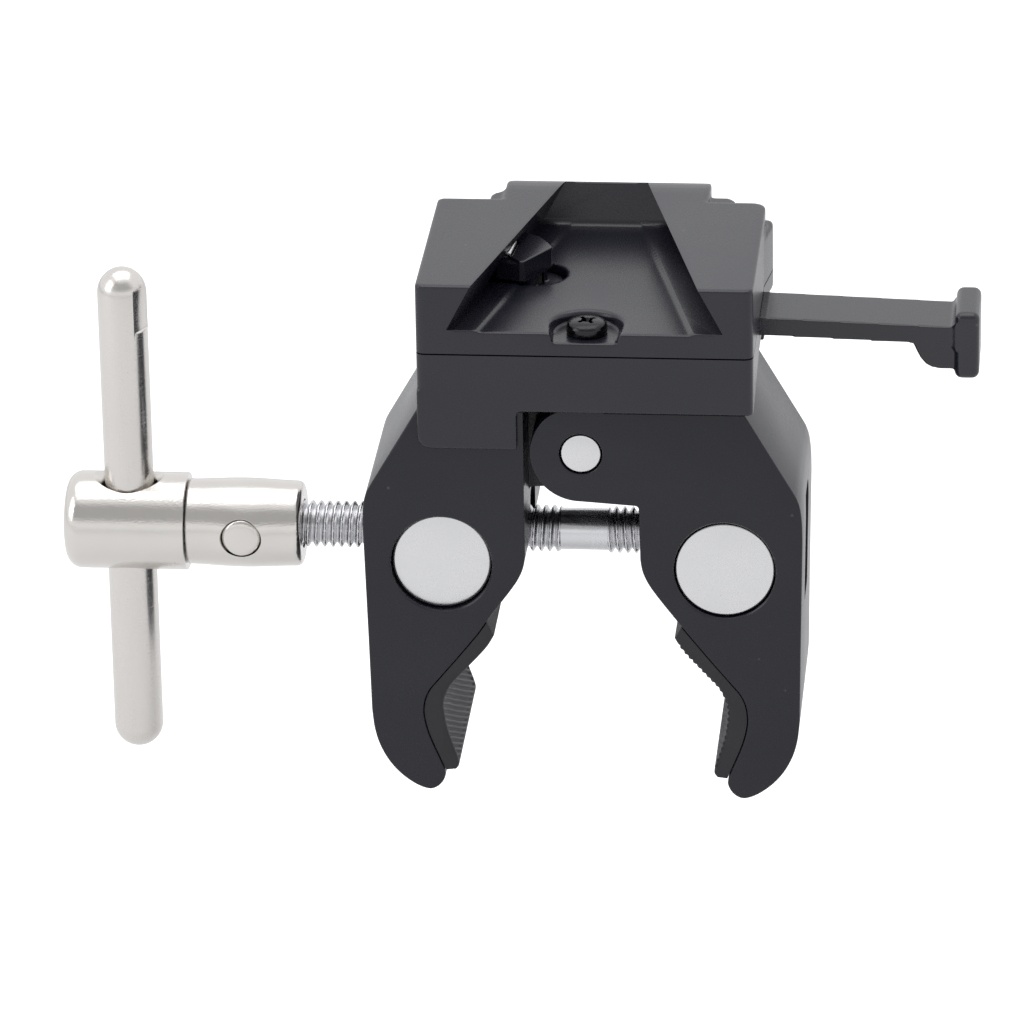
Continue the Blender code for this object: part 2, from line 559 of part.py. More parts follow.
# ---------------------------------------------------------------- fasteners of the receiver
def cap_screw(name, place, head, shank_end, head_r, shank_r, up):
    """An upright socket-head screw: head is its (low, high) z; up if it is above the shank."""
    low, high = head
    top, shank_start = (high, low + 0.5) if up else (low, high - 0.5)
    bolt = rod_z(name, head_r, place, head, mat=BLACK_STEEL, segments=24, bevel=0.35)
    weld(bolt, rod_z(name + "_shank", shank_r, place, (shank_end, shank_start), segments=20))
    cut(bolt, rod_z(name + "_socket", head_r * 0.52, place, (top - 1.1, top + 1.1), segments=6))


cap_screw("pocket_screw", POCKET_SCREW, head=(21.7, 23.4), shank_end=13.2, head_r=3.35,
          shank_r=1.5, up=True)
for tag, place in zip(("front", "rear"), JAW_BOLTS):
    cap_screw("jaw_bolt_" + tag, place, head=(15.9, 18.5), shank_end=2.4, head_r=3.8,
              shank_r=1.95, up=True)
for tag, place in zip(("left", "right"), REAR_SCREWS):
    cap_screw("rear_screw_" + tag, place, head=(8.7, 11.1), shank_end=27.0, head_r=3.0,
              shank_r=1.45, up=False)

# ---------------------------------------------------------------- release bar
LUG_END = PUSH_END + 0.4
# lug under the bar's outer end (x, z)
LUG = [
    (57.4, 14.4), (58.4, 12.2), (59.3, 10.6), (60.6, 9.7), (62.0, 9.4), (LUG_END, 9.4),
    (LUG_END, 15.2), (57.4, 15.2),
]
SPRING_LINE = ((PUSH_Y0 + PUSH_Y1) / 2, (PUSH_Z0 + PUSH_Z1) / 2)    # (y, z) of the spring's axis

push = block("release_bar", (-14.4, 31.5), (PUSH_Y0, PUSH_Y1), (PUSH_Z0, PUSH_Z1),
             mat=BLACK_NYLON)
weld(push,
     hull("bar_out", [(x, y, z - PUSH_DROOP * (x - PUSH_SAG_X))
                      for x in (PUSH_SAG_X, PUSH_END + 0.5)
                      for y in (PUSH_Y0, PUSH_Y1)
                      for z in (PUSH_Z0, PUSH_Z1)]),
     flat("lug", LUG, PUSH_Y0 + 0.05, PUSH_Y1 - 0.05),
     block("paddle", (PUSH_END, PADDLE_X1), (3.7, 18.2), (7.7, 20.1), bevel=1.3))
cut(push, rod_z("catch_screw_sink", 2.75, CATCH_SCREW, (14.0, 17.0), segments=20),
    rod_z("catch_screw_hole", CATCH_HOLE_R, CATCH_SCREW, (14.0, 20.0), segments=20),
    rod_x("spring_seat", 2.3, SPRING_LINE, (-20, -13.0), segments=20))
smooth(push)

# ---------------------------------------------------------------- catch, its pin and screw
CATCH_LOW = LEDGE_Z + GAP
CATCH_PIN_Z = 27.75
# (x, y) outlines
CATCH = [
    (-17.0, 20.4), (-11.7, 20.4), (-9.5, 18.6), (-7.8, 15.7), (-7.0, 13.9), (-7.1, 13.2),
    (-11.3, 6.3), (-12.2, 6.2), (-14.4, 9.0), (-17.0, 9.0),
]
CATCH_FOOT = [(-17.6, 9.8), (-16.3, 7.6), (-12.4, 6.3), (-12.4, 9.8)]
CATCH_NECK = [(-14.0, 16.1), (-9.3, 16.1), (-7.6, 13.4), (-10.6, 8.6), (-14.0, 9.6)]
CATCH_FLANGE = stadium(-15.4, CATCH_SLOT_X1 - FLANGE_GAP, CATCH_SLOT_Y0 + FLANGE_GAP,
                       CATCH_SLOT_Y1 - FLANGE_GAP)

catch = flat("latch_catch", CATCH, CATCH_LOW, CATCH_TOP, plane="xy", mat=BLACK_CAST)
weld(catch, flat("catch_foot", CATCH_FOOT, CATCH_LOW, CATCH_TOP - 0.4, plane="xy"),
     flat("catch_neck", CATCH_NECK, 20.0, LEDGE_Z + 1, plane="xy"),
     flat("catch_flange", CATCH_FLANGE, SEAM_LOW, 21.6, plane="xy"))
cut(catch, rod_z("catch_screw_thread", CATCH_HOLE_R, CATCH_SCREW, (15, 24.8), segments=20),
    rod("catch_pin_groove", 0.95, (-14.6, 9.2, CATCH_PIN_Z), (-13.9, 15.9, CATCH_PIN_Z),
        segments=24))
smooth(catch)

rod("catch_pin", 0.6, (-14.56, 9.6, CATCH_PIN_Z), (-13.94, 15.5, CATCH_PIN_Z), mat=ZINC,
    segments=24, bevel=0.12)

catch_screw = rod_z("catch_screw", 2.4, CATCH_SCREW, (15.4, 16.7), mat=BLACK_STEEL, segments=20,
                    bevel=0.2)
weld(catch_screw, rod_z("catch_screw_shank", 1.3, CATCH_SCREW, (16.0, 24.2), segments=20))
cut(catch_screw, rod_z("catch_screw_drive", 1.2, CATCH_SCREW, (14.9, 16.0), segments=6))

# ---------------------------------------------------------------- return spring
# a helix of wire along X between the channel's end and the bar's seat
SPRING_X0, SPRING_X1, SPRING_R, WIRE_R = -24.6, -13.3, 1.4, 0.22
TURNS, STEPS_PER_TURN = 7, 8


def return_spring():
    coil = bpy.data.curves.new("spring_wire", "CURVE")
    coil.dimensions = "3D"
    coil.bevel_depth = WIRE_R * MM
    coil.bevel_resolution = 0
    coil.use_fill_caps = True
    coil.materials.append(ZINC)
    path = coil.splines.new("POLY")
    count = TURNS * STEPS_PER_TURN
    path.points.add(count)
    mid_y, mid_z = SPRING_LINE
    for i, point in enumerate(path.points):
        angle = 2 * math.pi * i / STEPS_PER_TURN
        x = SPRING_X0 + WIRE_R + (SPRING_X1 - SPRING_X0 - 2 * WIRE_R) * i / count
        y = mid_y + SPRING_R * math.cos(angle)
        z = mid_z + SPRING_R * math.sin(angle)
        point.co = (x * MM, y * MM, z * MM, 1)
    PARTS.objects.link(bpy.data.objects.new("return_spring", coil))


return_spring()

# ---------------------------------------------------------------- model origin
ORIGIN = Vector((WEDGE_X, 9.9, FLOOR_Z))    # the middle of the wedge pocket's floor
for obj in (*PARTS.objects, *TOOLS.objects):
    obj.location -= ORIGIN * MM
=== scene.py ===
"""Looks of a super clamp with a wedge-lock receiver: meshes, procedural materials, studio and camera.

Drawn in millimetres with the hinge pin's axis, along Y, at x = z = 0. Each finished mesh is scaled to
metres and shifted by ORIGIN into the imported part's frame: +X towards the release bar's paddle,
-X towards the handle, +Y to the back, +Z up. The two jaws hang below the receiver.
"""

import json
import math
from functools import cached_property

import bmesh
import bpy
import numpy as np
from mathutils import Matrix, Vector

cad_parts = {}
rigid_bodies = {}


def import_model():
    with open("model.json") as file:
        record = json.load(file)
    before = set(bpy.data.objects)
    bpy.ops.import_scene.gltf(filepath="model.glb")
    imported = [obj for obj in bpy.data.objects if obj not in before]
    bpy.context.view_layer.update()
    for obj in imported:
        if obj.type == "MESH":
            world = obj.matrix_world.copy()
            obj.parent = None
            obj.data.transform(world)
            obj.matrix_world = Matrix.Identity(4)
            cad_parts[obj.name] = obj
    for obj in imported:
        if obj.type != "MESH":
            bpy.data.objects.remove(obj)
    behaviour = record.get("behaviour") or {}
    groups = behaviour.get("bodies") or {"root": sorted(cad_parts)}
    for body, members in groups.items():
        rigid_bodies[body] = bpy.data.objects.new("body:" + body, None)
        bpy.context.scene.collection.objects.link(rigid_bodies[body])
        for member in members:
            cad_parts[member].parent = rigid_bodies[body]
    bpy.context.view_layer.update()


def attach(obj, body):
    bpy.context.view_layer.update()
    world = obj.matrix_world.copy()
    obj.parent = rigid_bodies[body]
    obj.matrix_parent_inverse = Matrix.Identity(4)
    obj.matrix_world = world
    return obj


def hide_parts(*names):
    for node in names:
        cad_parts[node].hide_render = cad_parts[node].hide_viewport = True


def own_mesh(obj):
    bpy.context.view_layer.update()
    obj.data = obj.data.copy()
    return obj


for old in list(bpy.data.objects):
    bpy.data.objects.remove(old)

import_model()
MM = 0.001

SCENE = bpy.context.scene
LOOKS = bpy.data.collections.new("looks")
SCRATCH = bpy.data.collections.new("scratch")
SCENE.collection.children.link(LOOKS)
SCENE.collection.children.link(SCRATCH)

# ------------------------------------------------------------ dimensions shared by sections (mm)
JAW_MID = 2.0                   # y of the jaws' and the screw's mid plane
JAW_HALF, JAW_TOP = 17.2, 8.0   # half the jaws' depth; their top level
PIN_R = 3.55                    # hinge pin
DOWEL_X, DOWEL_Z, DOWEL_R = 25.0, -21.6, 8.8   # the clamp screw's axis is at DOWEL_Z too
SCREW_LEFT, SCREW_RIGHT = -66.0, 36.3
CROSS_PIN_X = -61.9             # cross pin through neck and screw
PLATE_X0, PLATE_X1, PLATE_Y0, PLATE_Y1 = -28.6, 30.4, -16.5, 27.2   # receiver's body
PLATE_TOP, SEAM_HIGH, SEAM_LOW, BASE_LOW = 31.75, 19.12, 18.85, 8.3
WEDGE_X, POCKET_FLOOR = 1.0, 23.25
JAW_BOLTS = ((-21.6, -10.0), (-15.0, -3.2))    # x, y
REAR_SCREWS = ((-22.0, 23.4), (24.5, 23.4))
POCKET_SCREW = (1.05, -10.9)
CATCH_SCREW = (-10.0, 12.3)
SPRING_Y, SPRING_Z = 10.95, 16.85
ORIGIN = Vector((WEDGE_X, 9.9, POCKET_FLOOR)) * MM   # the middle of the wedge pocket's floor


# ------------------------------------------------------------ outlines
def spline_through(points, steps=6):
    """Catmull-Rom curve through the points."""
    out = []
    for i in range(len(points) - 1):
        around = (points[max(i - 1, 0)], points[i], points[i + 1],
                  points[min(i + 2, len(points) - 1)])
        for s in range(steps):
            t = s / steps
            out.append(tuple(
                0.5 * (2 * b + (c - a) * t + (2 * a - 5 * b + 4 * c - d) * t * t
                       + (3 * b - a - 3 * c + d) * t ** 3) for a, b, c, d in zip(*around)))
    out.append(points[-1])
    return out


def fillet(points, radii, steps=5, closed=True):
    """The polygon with its corners rounded, by one radius or by one for each corner."""
    out, count = [], len(points)
    for i in range(count):
        corner = Vector(points[i])
        radius = radii[i] if isinstance(radii, (list, tuple)) else radii
        if radius <= 0 or (not closed and i in (0, count - 1)):
            out.append(tuple(corner))
            continue
        before, after = Vector(points[i - 1]) - corner, Vector(points[(i + 1) % count]) - corner
        length_before, length_after = before.length, after.length
        before, after = before / length_before, after / length_after
        angle = math.acos(max(-1, min(1, before.dot(after))))
        if angle > 3.1 or angle < 0.02:
            out.append(tuple(corner))
            continue
        reach = min(radius / math.tan(angle / 2), 0.48 * length_before, 0.48 * length_after)
        radius = reach * math.tan(angle / 2)
        centre = corner + (before + after).normalized() * (radius / math.sin(angle / 2))
        start, end = corner + before * reach - centre, corner + after * reach - centre
        first = math.atan2(start.y, start.x)
        turn = (math.atan2(end.y, end.x) - first + math.pi) % (2 * math.pi) - math.pi
        for k in range(steps + 1):
            a = first + turn * k / steps
            out.append((centre.x + radius * math.cos(a), centre.y + radius * math.sin(a)))
    return out


def arc(x, z, radius, start, end, steps):
    """Points on a circle, from one angle to another in degrees."""
    angles = [math.radians(start + (end - start) * i / steps) for i in range(steps + 1)]
    return [(x + radius * math.cos(a), z + radius * math.sin(a)) for a in angles]


def stadium(x0, x1, y0, y1):
    """A slot's outline with half-round ends."""
    r, mid = (y1 - y0) / 2, (y0 + y1) / 2
    angles = [math.pi * i / 16 for i in range(17)]
    return [(x1 - r + r * math.sin(a), mid - r * math.cos(a)) for a in angles] + \
           [(x0 + r - r * math.sin(a), mid + r * math.cos(a)) for a in angles]


def mirrored(points):
    return [(-x, z) for x, z in points]


def offset_line(points, distance):
    """The line moved to the right of its direction."""
    moved = []
    for i, p in enumerate(points):
        a, b = points[max(i - 1, 0)], points[min(i + 1, len(points) - 1)]
        dx, dz = b[0] - a[0], b[1] - a[1]
        size = math.hypot(dx, dz)
        moved.append((p[0] + dz / size * distance, p[1] - dx / size * distance))
    return moved


def both_ways(profile):
    """A turned profile followed by its mirror image about distance 0."""
    return profile + [(r, -d) for r, d in reversed(profile)]


def rimmed(radius, low, high, rim):
    """Profile of a round bar; rim holds (inset from the radius, distance from the end)."""
    return [(0, low)] + [(radius - inset, low + d) for inset, d in rim] + \
           [(radius - inset, high - d) for inset, d in reversed(rim)] + [(0, high)]


# ------------------------------------------------------------ meshes
drawing = {"mid_y": JAW_MID}    # every mesh is drawn about this y


def from_bm(name, bm, collection=SCRATCH):
    bmesh.ops.translate(bm, vec=(0, drawing["mid_y"] * MM, 0), verts=bm.verts)
    bmesh.ops.recalc_face_normals(bm, faces=bm.faces)
    mesh = bpy.data.meshes.new(name)
    bm.to_mesh(mesh)
    bm.free()
    obj = bpy.data.objects.new(name, mesh)
    collection.objects.link(obj)
    return obj


def from_lists(name, verts, faces):
    bm = bmesh.new()
    made = [bm.verts.new((v[0] * MM, v[1] * MM, v[2] * MM)) for v in verts]
    for face in faces:
        bm.faces.new([made[i] for i in face])
    return from_bm(name, bm)


def loft(name, rings):
    """Skins rings that have the same number of points and caps both ends."""
    count = len(rings[0])
    verts = [point for ring in rings for point in ring]
    faces = []
    for a in range(0, len(verts) - count, count):
        b = a + count
        for k in range(count):
            after = (k + 1) % count
            faces.append((a + k, a + after, b + after, b + k))
    faces.append(tuple(range(count)))
    faces.append(tuple(range(len(verts) - count, len(verts))))
    return from_lists(name, verts, faces)


def block(name, x, y, z, bevel=0.0, edges="all", segments=4):
    """A box between (low, high) pairs; all edges or those along one axis may be rounded."""
    low, high = Vector((x[0], y[0], z[0])), Vector((x[1], y[1], z[1]))
    bm = bmesh.new()
    bmesh.ops.create_cube(bm, size=1)
    size = Vector((x[1] - x[0], y[1] - y[0], z[1] - z[0]))
    middle = Vector((x[0] + x[1], y[0] + y[1], z[0] + z[1]))
    bmesh.ops.scale(bm, vec=size * MM, verts=bm.verts)
    bmesh.ops.translate(bm, vec=middle * MM / 2, verts=bm.verts)
    if bevel:
        chosen = [e for e in bm.edges if edges == "all" or abs(
            (e.verts[0].co - e.verts[1].co).normalized()["xyz".index(edges)]) > 0.9]
        bmesh.ops.bevel(bm, geom=chosen, offset=bevel * MM, segments=segments, profile=0.5,
                        affect="EDGES")
    return from_bm(name, bm)


def hull(name, points):
    bm = bmesh.new()
    for p in points:
        bm.verts.new(Vector(p) * MM)
    inside = set(bmesh.ops.convex_hull(bm, input=bm.verts)["geom_interior"])
    spare = [v for v in inside if isinstance(v, bmesh.types.BMVert)]
    bmesh.ops.delete(bm, geom=spare, context="VERTS")
    return from_bm(name, bm)


def lathe(name, profile, origin=(0, 0, 0), towards=(1, 0, 0), steps=96, radius=None):
    """Turned from (radius, distance) pairs; radius(r, distance, angle) may shape it further."""
    turn = Vector(towards).to_track_quat("Z", "Y").to_matrix()
    verts, faces, rows = [], [], []
    for r, d in profile:
        if r < 1e-6:
            rows.append([len(verts)] * steps)
            verts.append(Vector(origin) + turn @ Vector((0, 0, d)))
            continue
        row = []
        for k in range(steps):
            a = 2 * math.pi * k / steps
            rr = radius(r, d, a) if radius else r
            row.append(len(verts))
            verts.append(Vector(origin) + turn @ Vector((rr * math.cos(a), rr * math.sin(a), d)))
        rows.append(row)
    for low, high in zip(rows, rows[1:]):
        for k in range(steps):
            after = (k + 1) % steps
            face = list(dict.fromkeys((low[k], low[after], high[after], high[k])))
            if len(face) > 2:
                faces.append(face)
    return from_lists(name, verts, faces)


def rod(name, radius, start, end, steps=64, rim=((0, 0),)):
    """A round bar between two points."""
    along = Vector(end) - Vector(start)
    return lathe(name, rimmed(radius, 0, along.length, rim), start, along, steps)


def upright(name, radius, place, low, high, steps=32):
    """A round bar along Z at an (x, y) place."""
    return rod(name, radius, (*place, low), (*place, high), steps)


def plate(name, outline, low, high, plane="xz", edge=0.0):
    """A filled outline, thick along Y or Z, with rims rounded by edge."""
    curve = bpy.data.curves.new(name + "_outline", "CURVE")
    curve.dimensions = "2D"
    curve.fill_mode = "BOTH"
    curve.extrude = ((high - low) / 2 - edge) * MM
    curve.bevel_depth = edge * MM
    curve.offset = -edge * MM
    curve.bevel_resolution = 2
    spline = curve.splines.new("POLY")
    spline.points.add(len(outline) - 1)
    for point, (u, v) in zip(spline.points, outline):
        point.co = (u * MM, v * MM, 0, 1)
    spline.use_cyclic_u = True
    draft = bpy.data.objects.new(name + "_draft", curve)
    SCRATCH.objects.link(draft)
    mid = (low + high) * MM / 2
    if plane == "xz":
        place = Matrix.Translation((0, mid, 0)) @ Matrix.Rotation(math.pi / 2, 4, "X")
    else:
        place = Matrix.Translation((0, 0, mid))
    mesh = evaluated_mesh(draft)
    bm = bmesh.new()
    bm.from_mesh(mesh)
    bmesh.ops.transform(bm, matrix=place, verts=bm.verts)
    bmesh.ops.remove_doubles(bm, verts=bm.verts, dist=0.000001)
    bpy.data.objects.remove(draft)
    bpy.data.curves.remove(curve)
    bpy.data.meshes.remove(mesh)
    return from_bm(name, bm)


def evaluated_mesh(obj):
    bpy.context.view_layer.update()
    graph = bpy.context.evaluated_depsgraph_get()
    return bpy.data.meshes.new_from_object(obj.evaluated_get(graph))


def apply_modifier(obj, kind, **settings):
    """Adds one modifier and makes its result the object's mesh."""
    modifier = obj.modifiers.new("op", kind)
    for key, value in settings.items():
        setattr(modifier, key, value)
    mesh = evaluated_mesh(obj)
    obj.modifiers.clear()
    old_mesh = obj.data
    obj.data = mesh
    bpy.data.meshes.remove(old_mesh)


def combine(obj, others, operation):
    for other in others:
        apply_modifier(obj, "BOOLEAN", operation=operation, solver="EXACT", object=other)
        bpy.data.objects.remove(other)
    return obj


def cut(obj, *others):
    return combine(obj, others, "DIFFERENCE")


def weld(obj, *others):
    return combine(obj, others, "UNION")


def cast(obj, voxel, rounds):
    """Remeshed in fine voxels and softened, which rounds every edge like a casting's."""
    apply_modifier(obj, "REMESH", mode="VOXEL", voxel_size=voxel * MM, use_smooth_shade=True)
    apply_modifier(obj, "SMOOTH", factor=0.5, iterations=rounds)


def trim(obj, height, remove_above):
    """Cuts the mesh at a level and closes it there with a crisp edge."""
    bm = bmesh.new()
    bm.from_mesh(obj.data)
    geom = list(bm.verts) + list(bm.edges) + list(bm.faces)
    bmesh.ops.bisect_plane(bm, geom=geom, plane_co=(0, 0, height * MM), plane_no=(0, 0, 1),
                           clear_inner=not remove_above, clear_outer=remove_above)
    rim = [e for e in bm.edges if e.is_boundary]
    bmesh.ops.triangle_fill(bm, use_beauty=True, use_dissolve=False, edges=rim)
    bmesh.ops.recalc_face_normals(bm, faces=bm.faces)
    bm.to_mesh(obj.data)
    bm.free()


def piece(obj, name, body, material, node, smooth=35):
    """Names the finished mesh, gives it its material and puts it on its body in place of its solid.

    Edges steeper than smooth, in degrees, stay sharp; 0 leaves none sharp."""
    obj.name = name
    obj.data.name = name
    SCRATCH.objects.unlink(obj)
    LOOKS.objects.link(obj)
    obj.data.transform(Matrix.Translation(-ORIGIN))
    obj.data.materials.clear()
    obj.data.materials.append(material)
    obj.data.shade_smooth()
    if smooth:
        obj.data.set_sharp_from_angle(angle=math.radians(smooth))
    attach(obj, body)
    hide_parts(node)
    return obj


# ------------------------------------------------------------ materials
class Graph:
    """Short forms for building a node tree."""

    def __init__(self, tree):
        self.tree = tree

    def feed(self, socket, value):
        """Links another socket, or sets a number or an RGB tuple."""
        if isinstance(value, bpy.types.NodeSocket):
            self.tree.links.new(value, socket)
        else:
            socket.default_value = (*value, 1) if isinstance(value, tuple) else value

    def new(self, kind, sockets=None, **settings):
        node = self.tree.nodes.new("ShaderNode" + kind)
        for key, value in settings.items():
            setattr(node, key, value)
        for key, value in (sockets or {}).items():
            self.feed(node.inputs[key], value)
        return node

    def maths(self, operation, a, b):
        return self.new("Math", {0: a, 1: b}, operation=operation).outputs[0]

    def span(self, value, source, target, kind="LINEAR"):
        """Maps the source range to the target range."""
        sockets = {"Value": value, "From Min": source[0], "From Max": source[1],
                   "To Min": target[0], "To Max": target[1]}
        return self.new("MapRange", sockets, interpolation_type=kind).outputs["Result"]


class Shader(Graph):
    """A principled material; texture scales are per millimetre of the piece's own space."""

    def __init__(self, name, colour, rough, metal, specular):
        self.mat = bpy.data.materials.new(name)
        self.mat.use_nodes = True
        super().__init__(self.mat.node_tree)
        self.inputs = self.tree.nodes["Principled BSDF"].inputs
        self.feed(self.inputs["Base Color"], colour)
        self.feed(self.inputs["Roughness"], rough)
        self.feed(self.inputs["Metallic"], metal)
        self.feed(self.inputs["Specular IOR Level"], specular)
        self.mat.diffuse_color = (*colour, 1)

    @cached_property
    def space(self):
        return self.new("TexCoord").outputs["Object"]

    def mapped(self, scale):
        """Object space scaled evenly by one number, or by one number for each axis."""
        scales = scale if isinstance(scale, tuple) else (scale,) * 3
        sockets = {"Scale": [s * 1000 for s in scales], "Vector": self.space}
        return self.new("Mapping", sockets).outputs["Vector"]

    def noise(self, scale, detail=3.0, rough=0.5):
        sockets = {"Scale": 1.0, "Detail": detail, "Roughness": rough, "Distortion": 0.0,
                   "Vector": self.mapped(scale)}
        return self.new("TexNoise", sockets).outputs["Fac"]

    def spots(self, scale, size):
        """1 inside small scattered spots."""
        cells = self.new("TexVoronoi", {"Scale": 1.0, "Vector": self.mapped(scale)})
        return self.span(cells.outputs["Distance"], (size, size * 0.5), (0.0, 1.0))

    def from_noise(self, noise, low, high):
        """The middle of a noise's range, spread from low to high."""
        return self.span(noise, (0.3, 0.7), (low, high))

    def tint(self, factor, colour_a, colour_b):
        # sockets 6 and 7 are the Mix node's colours A and B, output 2 their mix
        sockets = {"Factor": factor, 6: colour_a, 7: colour_b}
        return self.new("Mix", sockets, data_type="RGBA").outputs[2]

    def finish(self, base, rough, bumps, edge=0.0):
        """Feeds colour and roughness, then adds (height, depth in mm) bumps on top of edges
        rounded by a small radius in mm."""
        self.feed(self.inputs["Base Color"], base)
        self.feed(self.inputs["Roughness"], rough)
        normal = None
        if edge:
            normal = self.new("Bevel", {"Radius": edge * MM}, samples=6).outputs["Normal"]
        for height, depth in bumps:
            sockets = {"Strength": 1.0, "Distance": depth * MM, "Height": height}
            if normal is not None:
                sockets["Normal"] = normal
            normal = self.new("Bump", sockets).outputs["Normal"]
        self.feed(self.inputs["Normal"], normal)
        return self.mat


def black_metal(name, colour, rough, specular, grain, depth, edge):
    """Black finish with a cloudy colour, a fine grain and a few paler specks."""
    shader = Shader(name, colour, rough, metal=0.0, specular=specular)
    cloud = shader.noise(0.05, detail=2.0)
    fine = shader.noise(grain, detail=2.0, rough=0.6)
    specks = shader.maths("MULTIPLY", shader.spots(scale=0.16, size=0.055), 0.25)
    dark, light = (tuple(c * share for c in colour) for share in (1 - 0.35, 1 + 0.35))
    base = shader.tint(specks, shader.tint(cloud, dark, light), (0.16, 0.16, 0.165))
    roughness = shader.maths("ADD", shader.from_noise(cloud, rough - 0.03, rough + 0.03),
                             shader.from_noise(fine, -0.04, 0.04))
    return shader.finish(base, roughness, bumps=[(fine, depth)], edge=edge)


def plated(name, colour, rough, peel, peel_depth, spread, edge):
    """Bright plating: slow orange peel, a fine grain and a cloudy polish."""
    shader = Shader(name, colour, rough, metal=1.0, specular=0.5)
    slow = shader.noise(peel, detail=2.0, rough=0.55)
    fine = shader.noise(3.0, detail=3.0, rough=0.6)
    cloud = shader.noise(0.11, detail=3.0, rough=0.6)
    base = shader.tint(cloud, tuple(c * 0.95 for c in colour), tuple(c * 1.04 for c in colour))
    half = spread / 2
    roughness = shader.maths("ADD", shader.from_noise(cloud, rough - half, rough + half),
                             shader.from_noise(fine, -half, half))
    return shader.finish(base, roughness, [(slow, peel_depth), (fine, peel_depth * 0.12)], edge)


def turned_nickel():
    """The T-bar's satin finish: fine rings from turning, with long soft streaks."""
    shader = Shader("turned_nickel", (0.66, 0.635, 0.61), rough=0.24, metal=1.0, specular=0.5)
    rings = shader.noise((0.25, 0.25, 7.0), detail=3.0, rough=0.7)
    streaks = shader.noise((1.6, 1.6, 0.06), detail=3.0, rough=0.6)
    cloud = shader.noise((0.2, 0.2, 0.05), detail=2.0)
    base = shader.tint(cloud, (0.64, 0.615, 0.59), (0.71, 0.685, 0.66))
    roughness = shader.maths("ADD", shader.from_noise(rings, 0.19, 0.29),
                             shader.from_noise(streaks, -0.03, 0.03))
    return shader.finish(base, roughness, bumps=[(rings, 0.005), (streaks, 0.004)], edge=0.1)


def ribbed_rubber():
    """Matt rubber whose rib crests carry a painted highlight, a paler base colour along them."""
    shader = Shader("ribbed_rubber", (0.014, 0.014, 0.015), rough=0.55, metal=0.0, specular=0.45)
    fine = shader.noise(4, detail=3.0, rough=0.65)
    cloud = shader.noise(0.12, detail=2.0)
    crest_highlight = shader.new("Attribute", attribute_name="crest_highlight").outputs["Fac"]
    ground = shader.tint(cloud, (0.010, 0.010, 0.013), (0.019, 0.019, 0.023))
    # painted highlight: the base colour along the rib crests is raised to a pale grey
    base = shader.tint(crest_highlight, ground, (0.19, 0.19, 0.20))
    return shader.finish(base, shader.from_noise(fine, 0.48, 0.66), bumps=[(fine, 0.02)])


ANODISED = black_metal("black_anodised", (0.0072, 0.0074, 0.0135), rough=0.28, specular=0.42,
                       grain=5.0, depth=0.004, edge=0.22)
POWDER = black_metal("black_powder_coat", (0.0085, 0.0085, 0.0155), rough=0.28, specular=0.55,
                     grain=3.6, depth=0.007, edge=0.0)
NYLON = black_metal("black_nylon", (0.010, 0.010, 0.0165), rough=0.25, specular=0.6,
                    grain=2.8, depth=0.006, edge=0.0)
OXIDE = black_metal("black_oxide", (0.02, 0.02, 0.021), rough=0.30, specular=0.8,
                    grain=6.0, depth=0.004, edge=0.12)
NICKEL = plated("nickel_plate", (0.68, 0.655, 0.625), rough=0.14, peel=3.0, peel_depth=0.032,
                spread=0.05, edge=0.12)
CHROME = plated("satin_chrome", (0.70, 0.70, 0.705), rough=0.26, peel=0.9, peel_depth=0.006,
                spread=0.06, edge=0.12)
ZINC = plated("zinc_plate", (0.66, 0.66, 0.675), rough=0.24, peel=1.6, peel_depth=0.012,
              spread=0.10, edge=0.0)
TURNED = turned_nickel()
RUBBER = ribbed_rubber()

# ------------------------------------------------------------ jaws
KNUCKLE_HALF, EAR_IN, LOBE_R = 6.8, 7.1, 9.05   # left knuckle, gap in the right one, their lobes
KNUCKLE_X = 10.1                # where the knuckles meet the claws
LOBE_END = 90 + 27.9            # degrees
PIN_BORE_R, DOWEL_BORE_R = 3.8, 9.0
SLOT_HALF_Y, SLOT_Z = 4.9, (-32.8, -12.5)      # the screw's slot through the claw

# the left claw's outline as (x, z): down its outer edge to the tip, up the pad's seat, then the
# edge facing the other jaw
OUTER = [(-28.75, JAW_TOP), (-37.3, -6.6)] + spline_through(
    [(-37.9, -7.7), (-38.5, -9.6), (-38.8, -12.5), (-38.8, -16.0)]) + [(-38.3, -36.0)] \
    + spline_through([
        (-38.0, -50.2), (-37.6, -53.9), (-36.7, -57.2), (-35.1, -60.3), (-33.0, -62.8),
        (-30.5, -64.7), (-28.3, -65.6), (-26.9, -65.4), (-25.7, -64.4), (-25.05, -63.0),
        (-25.1, -61.9)])
SEAT = [(-25.1, -61.9), (-26.1, -59.4), (-27.1, -57.0), (-28.0, -54.5), (-28.55, -52.2),
        (-28.75, -50.1), (-28.45, -47.7), (-27.6, -45.6), (-26.3, -43.9), (-24.6, -41.8),
        (-22.8, -39.6), (-20.9, -37.2), (-19.1, -34.9), (-17.3, -32.6)]
INNER = [(-14.6, -29.0), (-13.0, -26.8), (-11.5, -24.5), (-10.5, -22.2), (-10.1, -19.9)]
CLAW = OUTER + spline_through(SEAT, 5)[1:] + spline_through(INNER, 5)
# the left pad's gripping face as (x, z), from its upper end to the claw's tip
PAD_FACE = [(-15.9, -34.9), (-17.1, -37.0), (-18.8, -39.1), (-20.6, -41.1), (-22.2, -42.9),
            (-23.6, -44.5), (-24.55, -46.3), (-25.1, -48.2), (-25.15, -50.2), (-24.65, -53.6),
            (-23.8, -56.6), (-22.9, -59.3), (-22.6, -60.9), (-23.1, -61.8)]
PAD_CHAMFER = [16.4, 16.65, 16.82, 16.9]       # distances of the end stations from the mid plane
RIB_PITCH, RIB_DEPTH, RIB_RISE, RIB_SLANT, RIBS_HALF = 1.18, 0.55, 0.12, 0.53, 16.2


def eased(value, start, end):
    t = max(0.0, min(1.0, (value - start) / (end - start)))
    return t * t * (3 - 2 * t)


